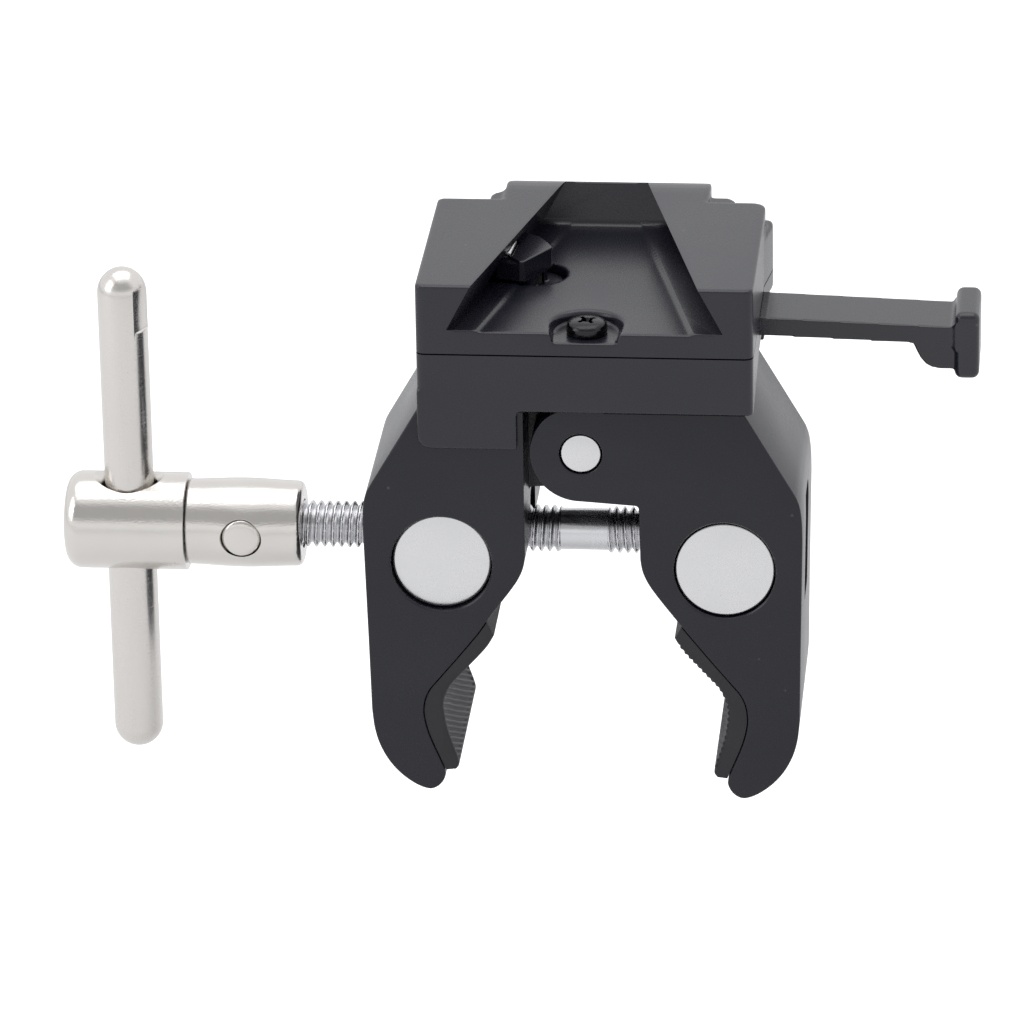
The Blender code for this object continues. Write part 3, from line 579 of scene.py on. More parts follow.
def settle(obj, side):
    """The claws aren't quite mirror images: the right one (+1) runs a little longer and wider
    towards its tip, and the left one's seat sits a little lower behind the pad."""
    for vertex in obj.data.vertices:
        x, z = vertex.co.x / MM, vertex.co.z / MM
        if side > 0:
            share, below = eased(-z, 8, 20), max(0.0, -z - 20)
            vertex.co.x += share * (0.20 + 0.009 * below) * MM
            vertex.co.z -= share * (0.25 + 0.006 * below) * MM
        else:
            band = 0.55 * eased(-z, 31, 35) * (1 - eased(-z, 46, 53))
            vertex.co.z -= band * eased(x, -33, -27) * MM
    return obj


def bore_cutter(name, x, z, radius, half, flare):
    """A bore along Y whose mouths, half away from the mid plane, are chamfered by flare."""
    wide = radius + flare + 1.0
    profile = [(0, -22), (wide, -22), (wide, -half - 0.6), (radius + flare, -half - 0.02),
               (radius, -half + flare)]
    return lathe(name, both_ways(profile), (x, 0, z), (0, 1, 0), 128)


def claw(name, side, outline, knuckle_half):
    body = plate(name, outline, -JAW_HALF, JAW_HALF, edge=0.32)
    slot = block(name + "_slot", sorted((side * 5, side * 45)), (-SLOT_HALF_Y, SLOT_HALF_Y),
                 SLOT_Z, bevel=2.0, edges="x", segments=8)
    return cut(body, slot,
               bore_cutter(name + "_bore", side * DOWEL_X, DOWEL_Z, DOWEL_BORE_R, JAW_HALF, 0.30),
               bore_cutter(name + "_pin", 0, 0, PIN_BORE_R, knuckle_half, 0.18))


def left_claw():
    throat = [(-KNUCKLE_X, -15.0), (-KNUCKLE_X, -LOBE_R - 1.6), (-4.6, -LOBE_R - 1.4),
              (-0.8, -LOBE_R)]
    outline = CLAW + fillet(throat, [0, 0.7, 2.0, 0], closed=False)[:-1] \
        + arc(0, 0, LOBE_R, -90, LOBE_END, 44) + [(-10.0, JAW_TOP)]
    left = claw("left", -1, outline, KNUCKLE_HALF)
    for y in ((-22, -KNUCKLE_HALF), (KNUCKLE_HALF, 22)):
        cut(left, block("knuckle_side", (-KNUCKLE_X, 14), y, (-16.5, 14)))
    weld(left, block("seat_boss", (-26.0, -11.0), (-16.6, 16.6), (7.0, 11.2), 1.0, edges="z"))
    for x, y in JAW_BOLTS:
        cut(left, upright("bolt_thread", 2.25, (x, y - JAW_MID), 1.6, 13))
    piece(settle(left, -1), "left_jaw_claw", "fixed_jaw", ANODISED, "left_jaw")


def right_claw():
    throat = [(KNUCKLE_X, -15.0), (KNUCKLE_X, -LOBE_R - 0.7), (1.0, -LOBE_R)]
    outline = mirrored(CLAW) + fillet(throat, 0.7, closed=False)[:-1] \
        + mirrored(arc(0, 0, LOBE_R, -90, LOBE_END, 44)) + [(10.0, JAW_TOP)]
    right = claw("right", 1, outline, JAW_HALF)
    cut(right, block("knuckle_slot", (-14, KNUCKLE_X), (-EAR_IN, EAR_IN), (-16.5, 14)))
    piece(settle(right, 1), "right_jaw_claw", "moving_jaw", ANODISED,
          "right_jaw")


def hinge_pin():
    profile = rimmed(PIN_R, -16.9, 16.9, rim=[(0.35, 0), (0.12, 0.08), (0, 0.3)])
    piece(lathe("pin", profile, (0, 0, 0), (0, 1, 0), 96), "hinge_pin_chromed", "moving_jaw",
          CHROME, "hinge_pin")


def pad(name, side, body, node):
    """Lofted along Y: the gripping face carries fine slanting ribs, the ends are chamfered."""
    face = spline_through(PAD_FACE, 26)
    back = offset_line(spline_through(SEAT, 4), 0.18)
    behind = offset_line(face, 1.0)
    length = [0.0]
    for a, b in zip(face, face[1:]):
        length.append(length[-1] + math.hypot(b[0] - a[0], b[1] - a[1]))
    total = length[-1]
    stations = [-y for y in reversed(PAD_CHAMFER)] \
        + list(np.linspace(-RIBS_HALF, RIBS_HALF, 120)) + PAD_CHAMFER
    # the right pad's ribs run on, shallower, into its chamfered ends
    least, ribs_end = (0.25, 17.1) if side > 0 else (0.0, RIBS_HALF)
    rings, crest_highlight_values = [], []
    for y in stations:
        end = max(0.0, abs(y) - 16.3) / 0.6
        pull = 0.3 * end * end
        ribbed = max(least, min(1.0, (ribs_end - abs(y)) / 0.5))
        ring = []
        for s, (x, z), (behind_x, behind_z) in zip(length, face, behind):
            fade = ribbed * max(0.0, min(1.0, (s - 1.2) / 0.8, (total - 1.4 - s) / 0.8))
            waver = 0.03 * math.sin(0.55 * y + 0.3 * s)
            wave = (s + side * y * RIB_SLANT + waver) / RIB_PITCH
            t = abs((wave % 1.0) - 0.5) * 2        # 0 on the crest, 1 in the root
            rib = RIB_DEPTH * fade * (1 - (1 - t) ** 1.6)
            shift = RIB_RISE * fade - rib - pull   # towards the grip
            ring.append((x + (x - behind_x) * shift, y, z + (z - behind_z) * shift))
            # mask of the painted highlight along the rib crests, read by the rubber's colour
            crest_highlight_values.append(fade * max(0.0, 1 - t / 0.45) if abs(y) < RIBS_HALF else 0.0)
        for x, z in back:
            ring.append((x, y, z))
            crest_highlight_values.append(0.0)
        rings.append([(-side * x, y, z) for x, y, z in ring])
    made = settle(loft(name, rings), side)
    made.data.attributes.new("crest_highlight", "FLOAT", "POINT").data.foreach_set("value", crest_highlight_values)
    piece(made, name, body, RUBBER, node, smooth=50)


# ------------------------------------------------------------ dowels, screw, ring
DOWEL_HALF = 16.6
DOWEL_RIM = [(0.45, 0), (0.2, 0.06), (0.05, 0.2), (0, 0.45)]
SCREW_R, WAIST_R, WAIST_X0, WAIST_X1 = 4.2, 3.75, -4.9, 3.5
PITCH, THREAD_DEPTH = 1.5, 0.85
GROOVE_X0, GROOVE_X1, GROOVE_R = 34.2, 35.72, 3.0   # for the ring
GROOVE_WALL = 0.02
RING_X, RING_R, RING_HALF_X, RING_HALF_R, RING_GAP = 34.95, 4.05, 0.5, 0.6, 26   # gap in degrees


def dowel(name, side, front_inset, way_radius, shift):
    """front_inset is how much deeper its front end sits in the bore."""
    profile = rimmed(DOWEL_R, -(DOWEL_HALF - front_inset), DOWEL_HALF, DOWEL_RIM)
    x = side * DOWEL_X
    body = lathe(name, profile, (x, 0, DOWEL_Z), (0, 1, 0), 144)
    body.data.transform(Matrix.Translation((shift[0] * MM, 0, shift[1] * MM)))
    cut(body, rod("screw_way", way_radius, (x - 20, 0, DOWEL_Z), (x + 20, 0, DOWEL_Z)))
    piece(body, name + "_pin", name, CHROME, name, smooth=30)


def thread_radius(x, angle):
    """Left-hand turns left of the waist, right-hand turns right of it."""
    if WAIST_X0 <= x <= WAIST_X1:
        return WAIST_R
    hand = -1 if x < 0 else 1
    turn = (x / PITCH - hand * angle / (2 * math.pi)) % 1.0
    t = abs(turn - 0.5) * 2                     # 1 at the crest, 0 in the root
    cutting = 1 - max(0.0, min(1.0, (t - 0.14) / 0.68))
    near = min(abs(x - WAIST_X0), abs(x - WAIST_X1))
    depth = THREAD_DEPTH * min(1.0, 0.35 + near / 0.9)
    radius = SCREW_R - depth * cutting
    edge = min(x - SCREW_LEFT, SCREW_RIGHT - x)
    return min(radius, 2.95 + edge * 1.0) if edge < 1.1 else radius


def clamp_screw():
    stations = [SCREW_LEFT] + list(np.arange(-65.9, -4.95, 0.1)) \
        + [WAIST_X0, WAIST_X0 + 0.05, WAIST_X1 - 0.05, WAIST_X1] \
        + list(np.arange(3.6, 33.9, 0.1)) \
        + [GROOVE_X0, GROOVE_X0 + GROOVE_WALL, GROOVE_X1 - GROOVE_WALL, GROOVE_X1] \
        + list(np.arange(35.8, 36.25, 0.1)) + [SCREW_RIGHT]
    # angles run from +Y towards +Z, so that the turns' hands are right about +X
    angles = [2 * math.pi * k / 60 for k in range(60)]
    rings = []
    for x in stations:
        in_groove = GROOVE_X0 + 0.01 < x < GROOVE_X1 - 0.01
        ring = []
        for a in angles:
            r = GROOVE_R if in_groove else thread_radius(x, a)
            ring.append((x, r * math.cos(a), DOWEL_Z + r * math.sin(a)))
        rings.append(ring)
    screw = cut(loft("screw", rings),
                rod("cross_hole", 2.3, (CROSS_PIN_X, -12, DOWEL_Z), (CROSS_PIN_X, 12, DOWEL_Z), 32))
    piece(screw, "double_handed_screw", "screw_and_handle", ZINC, "clamp_screw",
          smooth=50)


def snap_ring():
    """An open ring of rounded section in the groove of the screw's right end."""
    # the section's points are (radial, x)
    dr, dx = RING_HALF_X, RING_HALF_R
    section = fillet([(-dr, -dx), (dr, -dx), (dr, dx), (-dr, dx)], 0.2, 3)
    rings = []
    for k in range(61):
        a = math.radians(90 + RING_GAP / 2 + (360 - RING_GAP) * k / 60)
        rings.append([(RING_X + x, (RING_R + r) * math.cos(a), DOWEL_Z + (RING_R + r) * math.sin(a))
                      for r, x in section])
    piece(loft("ring", rings), "snap_ring", "screw_end_ring", OXIDE,
          "screw_end_ring")


# ------------------------------------------------------------ handle
HEAD_X0, HEAD_X1, HEAD_R = -94.0, -72.15, 8.8
NECK_X0, NECK_X1, NECK_R, NECK_BORE_R = -72.0, -51.3, 7.7, 4.45
BAR_X, BAR_R, BAR_LOW, BAR_HIGH = -82.7, 4.4, -65.9, 27.0
TIP_LOW, TIP_HIGH = 4.4, 4.6    # heights of the T-bar's domed ends
FLAT_ANGLE = math.atan2(-0.42, 0.906)
# turned profiles as (radius, distance)
BAR_HOLE = [(0, -14), (6.8, -14), (6.8, -9.2), (5.65, -8.15), (5.0, -7.5), (4.75, -6.8)]
CROSS_PIN_MOUTH = [(0, -12), (4.0, -12), (4.0, -8.5), (3.78, -8.15), (3.63, -7.8), (3.63, -2.0),
                   (0, -2.0)]
CROSS_PIN = [(0, -7.95), (1.4, -7.93), (2.3, -7.87), (2.9, -7.76), (3.25, -7.58), (3.46, -7.3),
             (3.52, -6.9), (3.52, -4.6), (1.95, -4.6)]
# the neck's ends as (radius, distance from the end)
NECK_LEFT = [(0, 0), (7.4, 0), (7.58, 0.06), (7.67, 0.18), (7.7, 0.4)]
NECK_RIGHT = [(7.68, 1.1), (7.62, 0.8), (7.46, 0.47), (7.18, 0.2), (6.8, 0.04), (6.4, 0), (0, 0)]


def handle_head():
    corners = [(0, HEAD_X0), (HEAD_R, HEAD_X0), (HEAD_R, HEAD_X1), (7.0, HEAD_X1), (0, HEAD_X1)]
    rounded = fillet(corners, [0, 2.8, 0.2, 0, 0], 14, closed=False)
    profile = []                # divided into short steps
    for (r0, d0), (r1, d1) in zip(rounded, rounded[1:]):
        k = max(1, int(math.hypot(r1 - r0, d1 - d0) / 1.2))
        profile += [(r0 + (r1 - r0) * i / k, d0 + (d1 - d0) * i / k) for i in range(k)]
    profile.append(rounded[-1])
    head = lathe("head", profile, (0, 0, DOWEL_Z), (1, 0, 0), 128)
    cut(head, lathe("bar_hole", both_ways(BAR_HOLE), (BAR_X, 0, DOWEL_Z), (0, 0, 1), 96))
    piece(head, "handle_head_plated", "screw_and_handle", NICKEL, "handle_head",
          smooth=40)


def neck_sleeve():
    """A slightly barrelled sleeve, pushed outwards a little around both ends of the cross pin."""
    profile = [(r, NECK_X0 + d) for r, d in NECK_LEFT]
    for i in range(33):
        t = i / 32
        x = NECK_X0 + 0.8 + t * (NECK_X1 - 1.4 - NECK_X0 - 0.8)
        profile.append((NECK_R + 0.34 * math.sin(math.pi * t) ** 1.5, x))
    profile += [(r, NECK_X1 - d) for r, d in NECK_RIGHT]
    turn = Vector((1, 0, 0)).to_track_quat("Z", "Y").to_matrix()

    def bulged(r, x, a):
        if r < 7.4:
            return r
        point = turn @ Vector((math.cos(a), math.sin(a), 0))
        around = math.acos(min(1.0, abs(point.y))) * r
        distance = (x - CROSS_PIN_X) ** 2 / 3.4 ** 2 + around ** 2 / 4.2 ** 2
        return r + 0.34 * math.exp(-distance / 1.3)

    neck = lathe("neck", profile, (0, 0, DOWEL_Z), (1, 0, 0), 144, bulged)
    pin_place = (CROSS_PIN_X, 0, DOWEL_Z)
    back_mouth = [(r, -y) for r, y in CROSS_PIN_MOUTH]
    cut(neck,
        rod("neck_bore", NECK_BORE_R, (SCREW_LEFT - 0.3, 0, DOWEL_Z), (-40, 0, DOWEL_Z)),
        lathe("pin_way", CROSS_PIN_MOUTH, pin_place, (0, 1, 0), 72),
        lathe("pin_way_back", back_mouth, pin_place, (0, 1, 0), 72))
    piece(neck, "neck_sleeve_plated", "screw_and_handle", NICKEL, "neck_sleeve",
          smooth=40)


def cross_pin():
    pin = lathe("cross", both_ways(CROSS_PIN), (CROSS_PIN_X, 0, DOWEL_Z), (0, 1, 0), 72)
    piece(pin, "cross_pin_riveted", "screw_and_handle", NICKEL, "cross_pin", smooth=60)


def t_bar():
    """An upright bar with domed ends and a flat milled into it near the top."""
    quarter = [math.pi / 2 * k / 14 for k in range(1, 15)]
    profile = [(0, BAR_HIGH)]
    profile += [(BAR_R * math.sin(t), BAR_HIGH - TIP_HIGH * (1 - math.cos(t))) for t in quarter]
    shaft_top = BAR_HIGH - TIP_HIGH
    shaft = shaft_top - BAR_LOW - TIP_LOW
    profile += [(BAR_R, shaft_top - shaft * k / 30) for k in range(1, 30)]
    profile += [(BAR_R * math.sin(t), BAR_LOW + TIP_LOW * (1 - math.cos(t)))
                for t in reversed(quarter)]
    profile.append((0, BAR_LOW))
    bar = lathe("bar", profile, (BAR_X, 0, 0), (0, 0, 1), 96)
    flat = block("milled_flat", (3.8, 8), (-6, 6), (15.7, 24.0), bevel=0.5, edges="y")
    flat.data.transform(Matrix.Translation((BAR_X * MM, JAW_MID * MM, 0))
                        @ Matrix.Rotation(FLAT_ANGLE, 4, "Z")
                        @ Matrix.Translation((0, -JAW_MID * MM, 0)))
    cut(bar, flat)
    piece(bar, "t_bar_turned", "t_bar", TURNED, "t_bar", smooth=40)


# ------------------------------------------------------------ receiver
WEDGE_HALF_FRONT, WEDGE_TAPER, WEDGE_UNDERCUT, WEDGE_LEAN = 19.8, 0.2335, 4.3, 0.21
WEDGE_FRONT, WEDGE_BACK, WEDGE_ROUND = -16.3, 38.0, 1.3
LEDGE_Z = 23.65
WEDGE_SLOPE = WEDGE_UNDERCUT / (PLATE_TOP - LEDGE_Z)
REAR_Y = 40.5
PAST_SEAM = 1.5                 # the shells are made this much past the seam, then trimmed
JAW_FRONT, JAW_BACK = JAW_MID - JAW_HALF, JAW_MID + JAW_HALF
FIT = 0.25                      # between the jaws and the lower shell
BOSS = fillet([(26, 18), (30.35, 18), (31.6, 27.0), (31.5, 29.4), (26, 29.4)],
              [0, 0, 2.0, 1.5, 1.2], 6)        # (x, y) at the back right corner
LEFT_STEP = ((-19.6, 26.0), (-19.3, 30.2), (-18.6, 31.5), (-17.3, 32.7), (-16.0, 33.5), (-15, 26))
RIGHT_STEP = ((18, 25), (18, 33), (23.4, 32.8), (24.6, 31.4), (24.6, 25))
# section of what is cut off the rear's upper edge: (y, height from PLATE_TOP)
ROLL = [(31.0, 0.02), (34.0, -0.05), (36.0, -0.22), (37.7, -0.55), (39.1, -1.05), (40.0, -1.7),
        (40.5, -2.6), (40.6, -4.5), (40.6, -6.0), (50, -6.0), (50, 3), (31.0, 3)]


def pocket(name, back, low, extra_low, extra_high):
    """The wedge's shape, open at the front, with the edge between floor and back rounded.

    The extras widen it on each side, at the floor and at the top."""
    high = PLATE_TOP + 2
    tilt = math.atan(WEDGE_LEAN)                # the back wall leans away from the pocket
    foot = low + WEDGE_ROUND * (1 - math.sin(tilt))
    centre = back + WEDGE_LEAN * (foot - PLATE_TOP) - WEDGE_ROUND * math.cos(tilt)
    section = [(-18, low), (-18, high), (back + WEDGE_LEAN * (high - PLATE_TOP), high)]
    for k in range(11):
        a = (math.pi / 2 - tilt) * k / 10
        section.append((centre + WEDGE_ROUND * math.sin(a), low + WEDGE_ROUND * (1 - math.cos(a))))
    points = []
    for y, z in section:
        half = WEDGE_HALF_FRONT - WEDGE_TAPER * (y - WEDGE_FRONT)
        share = (z - low) / (high - low)
        for s in (-1, 1):
            x = WEDGE_X + s * (half + extra_low + (extra_high - extra_low) * share)
            points.append((x, y, z))
    return hull(name, points)


def rear_roll():
    """The waste over the rear's rolled upper edge, drawn along X."""
    verts = [(x, y, PLATE_TOP + dz) for x in (-40, 40) for y, dz in ROLL]
    n = len(ROLL)
    faces = [tuple(range(n)), tuple(range(2 * n - 1, n - 1, -1))]
    faces += [(i, (i + 1) % n, n + (i + 1) % n, n + i) for i in range(n)]
    return from_lists("rolled_back", verts, faces)


def shell_body(name, low, high):
    corners = [(PLATE_X0, PLATE_Y0), (PLATE_X1, PLATE_Y0), (PLATE_X1, PLATE_Y1),
               (PLATE_X0, PLATE_Y1)]
    return plate(name, fillet(corners, [1.4, 1.4, 2.4, 1.2], 8), low, high, "xy")


def recess_outline(radius, half_mouth):
    """A round-ended recess around the pocket's screw, open at the front."""
    return arc(WEDGE_X, -11.6, radius, 0, 180, 28) + [(WEDGE_X - half_mouth, -18),
                                                      (WEDGE_X + half_mouth, -18)]


def top_shell():
    upper = shell_body("upper", SEAM_HIGH - PAST_SEAM, PLATE_TOP)
    rear = fillet([(-16.9, 22), (-16.9, REAR_Y), (20.0, REAR_Y), (20.0, 22)], [0, 4.0, 3.0, 0], 8)
    weld(upper,
         plate("rear", rear, 20.6, PLATE_TOP, "xy"),
         plate("rear_boss", BOSS, SEAM_HIGH - PAST_SEAM, 27.8, "xy", edge=0.6),
         hull("left_step", [(x, y, z) for x, y in LEFT_STEP for z in (20.6, 31.2)]),
         hull("right_step", [(x, y, z) for x, y in RIGHT_STEP for z in (20.6, 30.4)]))
    recess, lip = recess_outline(6.1, 5.6), recess_outline(6.85, 6.2)
    lip_points = [(x, y, 22.55) for x, y in recess] + [(x, y, 23.5) for x, y in lip]
    cut(upper,
        rear_roll(),
        pocket("wedge_inset", WEDGE_BACK - 0.7, LEDGE_Z, WEDGE_UNDERCUT - 0.7,
               -2 * WEDGE_SLOPE - 0.7),
        pocket("panel", WEDGE_BACK, POCKET_FLOOR, -0.8, -1.9),
        plate("catch_slot", stadium(-22.2, -4.3, 6.7, 18.0), 15, POCKET_FLOOR + 3, "xy"),
        block("catch_notch", (-24.2, -6), (5.8, 21.0), (LEDGE_Z, 28.7), bevel=0.5),
        plate("screw_recess", recess, 21.4, 26, "xy"),
        hull("lip", lip_points),
        upright("pocket_screw_hole", 1.9, POCKET_SCREW, 10, 22))
    for place in REAR_SCREWS:
        cut(upper, upright("rear_hole", 1.75, place, 10, 27.5))
    cast(upper, voxel=0.30, rounds=9)
    trim(upper, SEAM_HIGH, remove_above=False)
    # the wedge's walls are machined after casting, so their edges are crisp
    cut(upper, pocket("wedge", WEDGE_BACK, LEDGE_Z - 0.07, WEDGE_UNDERCUT, -2 * WEDGE_SLOPE))
    piece(upper, "receiver_top_shell", "fixed_jaw", POWDER, "upper_housing",
          smooth=50)


def base_shell():
    top = SEAM_LOW + PAST_SEAM
    lower = shell_body("lower", BASE_LOW, top)
    skirt = fillet([(PLATE_X0, 12), (PLATE_X0, 1.1), (-11.1, 1.1), (-11.1, 12)], [0, 2.2, 0, 0], 6)
    wall = fillet([(-27.0, 24), (30.2, 24), (30.2, 29.4), (-27.0, 29.4)], [0.8, 1.0, 1.4, 1.4], 5)
    weld(lower,
         plate("front_skirt", skirt, PLATE_Y0, JAW_FRONT - FIT),
         plate("back_skirt", skirt, JAW_BACK + FIT, JAW_BACK + 2.3),
         plate("rear_wall", wall, 12.0, top, "xy"),
         plate("rear_foot", BOSS, 15.6, top, "xy"))
    relief = ((-15.4, 8.0), (-15.4, 7), (3.0, 12.4), (19.3, 12.4), (19.3, 7))   # y, z
    cut(lower,
        block("jaw_cavity", (PLATE_X0 + 1.3, PLATE_X1 - 1.3), (JAW_FRONT - FIT, JAW_BACK + FIT),
              (0, 11.6)),
        hull("shoulder_relief", [(x, y, z) for x in (28, 33) for y, z in relief]),
        block("push_channel", (-25.0, 40), (4.15, 17.75), (14.85, 25)),
        upright("pocket_screw_thread", 1.75, POCKET_SCREW, 12.8, 25))
    for place in JAW_BOLTS:
        cut(lower, upright("head_way", 4.1, place, 15.6, 25, 48),
            upright("hole", 2.25, place, 10, 17))
    for place in REAR_SCREWS:
        cut(lower, upright("rear_head", 3.3, place, 5, 11.4, 48),
            upright("rear_hole", 1.75, place, 9, 25))
    cast(lower, voxel=0.28, rounds=6)
    trim(lower, SEAM_LOW, remove_above=True)
    piece(lower, "receiver_base_shell", "fixed_jaw", POWDER, "lower_housing",
          smooth=50)


# ------------------------------------------------------------ release bar and catch
PUSH_Y, PUSH_Z = (4.5, 17.4), (15.2, 18.5)
DROOP_X, DROOP = 31.0, 0.0367   # the bar slopes down from here towards the paddle
LUG = [(57.0, 15.0), (57.4, 14.4), (58.0, 13.0), (58.8, 11.4), (59.8, 10.2), (61.0, 9.6),
       (62.4, 9.4), (65.2, 9.4), (65.2, 15.2), (57.0, 15.2)]      # x, z
CATCH = [(-17.0, 20.4), (-11.7, 20.4), (-9.5, 18.6), (-7.8, 15.7), (-7.0, 13.9), (-7.1, 13.2),
         (-11.3, 6.3), (-12.2, 6.2), (-14.4, 9.0), (-17.0, 9.0)]  # x, y
CATCH_FOOT = [(-17.6, 9.8), (-16.3, 7.6), (-12.4, 6.3), (-12.4, 9.8)]
CATCH_NECK = [(-13.9, 16.0), (-9.4, 16.0), (-7.7, 13.4), (-10.7, 8.7), (-13.9, 9.7)]
WEAR_PIN_ROUND = 0.15


def release_bar():
    push = block("push", (-14.4, 31.5), PUSH_Y, PUSH_Z)
    weld(push,
         hull("bar_out", [(x, y, z - DROOP * max(0.0, x - DROOP_X))
                          for x in (DROOP_X, 65.3) for y in PUSH_Y for z in PUSH_Z]),
         plate("lug", LUG, 4.55, 17.35),
         hull("root", [(64.0, y, z) for y in (4.6, 17.3) for z in (13.99, 17.2)]
              + [(65.0, y, z) for y in (4.0, 17.9) for z in (13.0, 18.3)]),
         block("paddle", (64.8, 69.2), (3.7, 18.2), (7.7, 20.1), bevel=1.3, segments=6))
    cut(push,
        upright("sink", 2.75, CATCH_SCREW, 14.0, 17.0, 40),
        upright("hole", 1.6, CATCH_SCREW, 14.0, 20.0),
        rod("spring_seat", 2.3, (-20, SPRING_Y, SPRING_Z), (-13.0, SPRING_Y, SPRING_Z), 40))
    cast(push, voxel=0.25, rounds=3)
    piece(push, "release_bar_moulded", "release", NYLON, "release_bar", smooth=0)


def latch_catch():
    low = LEDGE_Z + 0.2
    catch = plate("catch", CATCH, low, 27.8, "xy")
    weld(catch,
         plate("foot", CATCH_FOOT, low, 27.3, "xy"),
         plate("neck", fillet(CATCH_NECK, 0.8, 4), 20.5, LEDGE_Z + 1, "xy"),
         plate("flange", stadium(-15.4, -4.75, 7.15, 17.55), 18.9, 21.6, "xy"))
    cut(catch,
        upright("screw_thread", 1.6, CATCH_SCREW, 15, 24.8),
        rod("pin_groove", 0.85, (-14.6, 9.2, 27.78), (-13.9, 15.9, 27.78), 32))
    cast(catch, voxel=0.14, rounds=5)
    piece(catch, "latch_catch_cast", "release", POWDER, "latch_catch", smooth=0)


def wear_pin():
    c = WEAR_PIN_ROUND
    rim = [(c - c * math.sin(t), c - c * math.cos(t)) for t in (0, 0.4, 0.8, 1.2, 1.5708)]
    piece(rod("wear_pin", 0.6, (-14.56, 9.6, 27.75), (-13.94, 15.5, 27.75), 40, rim),
          "catch_wear_pin", "release", CHROME, "catch_pin")


# ------------------------------------------------------------ fasteners and the spring
PAN_SCREW = [(0, 13.2), (1.2, 13.2), (1.5, 13.7), (1.5, 21.5), (3.35, 21.5), (3.57, 21.6),
             (3.62, 21.9), (3.6, 22.7), (3.48, 23.1), (3.15, 23.42), (2.6, 23.62), (1.7, 23.76),
             (0.8, 23.82), (0, 23.84)]         # radius, z
# solid, body, place, then z of the head's top, of its underside and of the shank's end,
# then the head's and the shank's radii
SOCKET_SCREWS = (
    ("jaw_bolt_front", "fixed_jaw", JAW_BOLTS[0], 18.5, 15.9, 2.4, 3.8, 1.95),
    ("jaw_bolt_rear", "fixed_jaw", JAW_BOLTS[1], 18.5, 15.9, 2.4, 3.8, 1.95),
    ("rear_screw_left", "fixed_jaw", REAR_SCREWS[0], 8.7, 11.1, 27.0, 3.0, 1.45),
    ("rear_screw_right", "fixed_jaw", REAR_SCREWS[1], 8.7, 11.1, 27.0, 3.0, 1.45),
    ("catch_screw", "release", CATCH_SCREW, 15.4, 16.7, 24.2, 2.4, 1.3))
SPRING_X0, SPRING_X1, SPRING_R, WIRE_R = -24.6, -13.3, 1.4, 0.24
SPRING_STEPS, STEPS_PER_TURN, WIRE_SIDES = 7 * 28, 28, 10


def pan_screw():
    """Pan head with a cross recess."""
    x, y = POCKET_SCREW
    screw = lathe("pan", PAN_SCREW, (x, y, 0), (0, 0, 1), 96)
    for turn in (0, 90):
        arm = block("recess", (-1.75, 1.75), (-0.36, 0.36), (22.4, 26))
        arm.data.transform(Matrix.Translation((x * MM, y * MM, 0))
                           @ Matrix.Rotation(math.radians(turn + 38), 4, "Z"))
        cut(screw, arm)
    cone = [(0, 22.1), (0.25, 22.2), (1.1, 24.0), (0, 24.0)]
    cut(screw, lathe("cone", cone, (x, y, 0), (0, 0, 1), 40))
    steel = plated("dark_plated_steel", (0.04, 0.04, 0.043), rough=0.20, peel=2.6,
                   peel_depth=0.045, spread=0.08, edge=0.1)
    piece(screw, "pan_head_screw", "fixed_jaw", steel, "pocket_screw")


def socket_screw(node, body, place, top, under, end, head_r, shank_r):
    """Along Z: rounded head with a knurled rim, hexagon socket and a chamfered shank."""
    name = node + "_socket"
    s = 1 if top > under else -1
    profile = [(0, end), (shank_r - 0.3, end), (shank_r, end + s * 0.4), (shank_r, under),
               (head_r - 0.1, under), (head_r, under + s * 0.15), (head_r, top - s * 0.5),
               (head_r - 0.15, top - s * 0.15), (head_r - 0.45, top), (0, top)]

    def knurl(r, d, a):
        return r - 0.07 * (0.5 + 0.5 * math.cos(a * 30)) if r > head_r - 0.05 else r

    screw = lathe(name, profile, (*place, 0), (0, 0, 1), 120, knurl)
    socket = [(0, top - s * 1.3), (head_r * 0.5, top - s * 1.1), (head_r * 0.52, top + s),
              (0, top + s)]
    cut(screw, lathe("hex", socket, (*place, 0), (0, 0, 1), 6))
    piece(screw, name, body, OXIDE, node)


def return_spring():
    """Compression spring along X, as a swept wire; its turns lie closer at the ends."""
    rings = []
    for i in range(SPRING_STEPS + 1):
        a = 2 * math.pi * i / STEPS_PER_TURN
        u = i / SPRING_STEPS
        closing = 0.5 - 0.5 * math.cos(math.pi * u)
        x = SPRING_X0 + WIRE_R + (SPRING_X1 - SPRING_X0 - 2 * WIRE_R) * (0.75 * u + 0.25 * closing)
        centre = Vector((x, SPRING_Y + SPRING_R * math.cos(a), SPRING_Z + SPRING_R * math.sin(a)))
        out = Vector((0, math.cos(a), math.sin(a)))
        angles = [2 * math.pi * k / WIRE_SIDES for k in range(WIRE_SIDES)]
        rings.append([centre + out * WIRE_R * math.cos(b) + Vector((1, 0, 0)) * WIRE_R * math.sin(b)
                      for b in angles])
    spring = piece(loft("coil", rings), "return_spring_coil", "fixed_jaw", ZINC,
                   "return_spring")
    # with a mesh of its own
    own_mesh(spring)


# ------------------------------------------------------------ studio and camera
GROUND_Z = -0.1045              # metres, before the shift by ORIGIN
AZIMUTH, ELEVATION, ROLL_BY = (math.radians(v) for v in (5.369, 23.26, -1.001))
CAMERA_TARGET, CAMERA_DISTANCE = (-13.675, 0, -17.768), 1249.699
LENS, SENSOR = 246.09375, 36.0


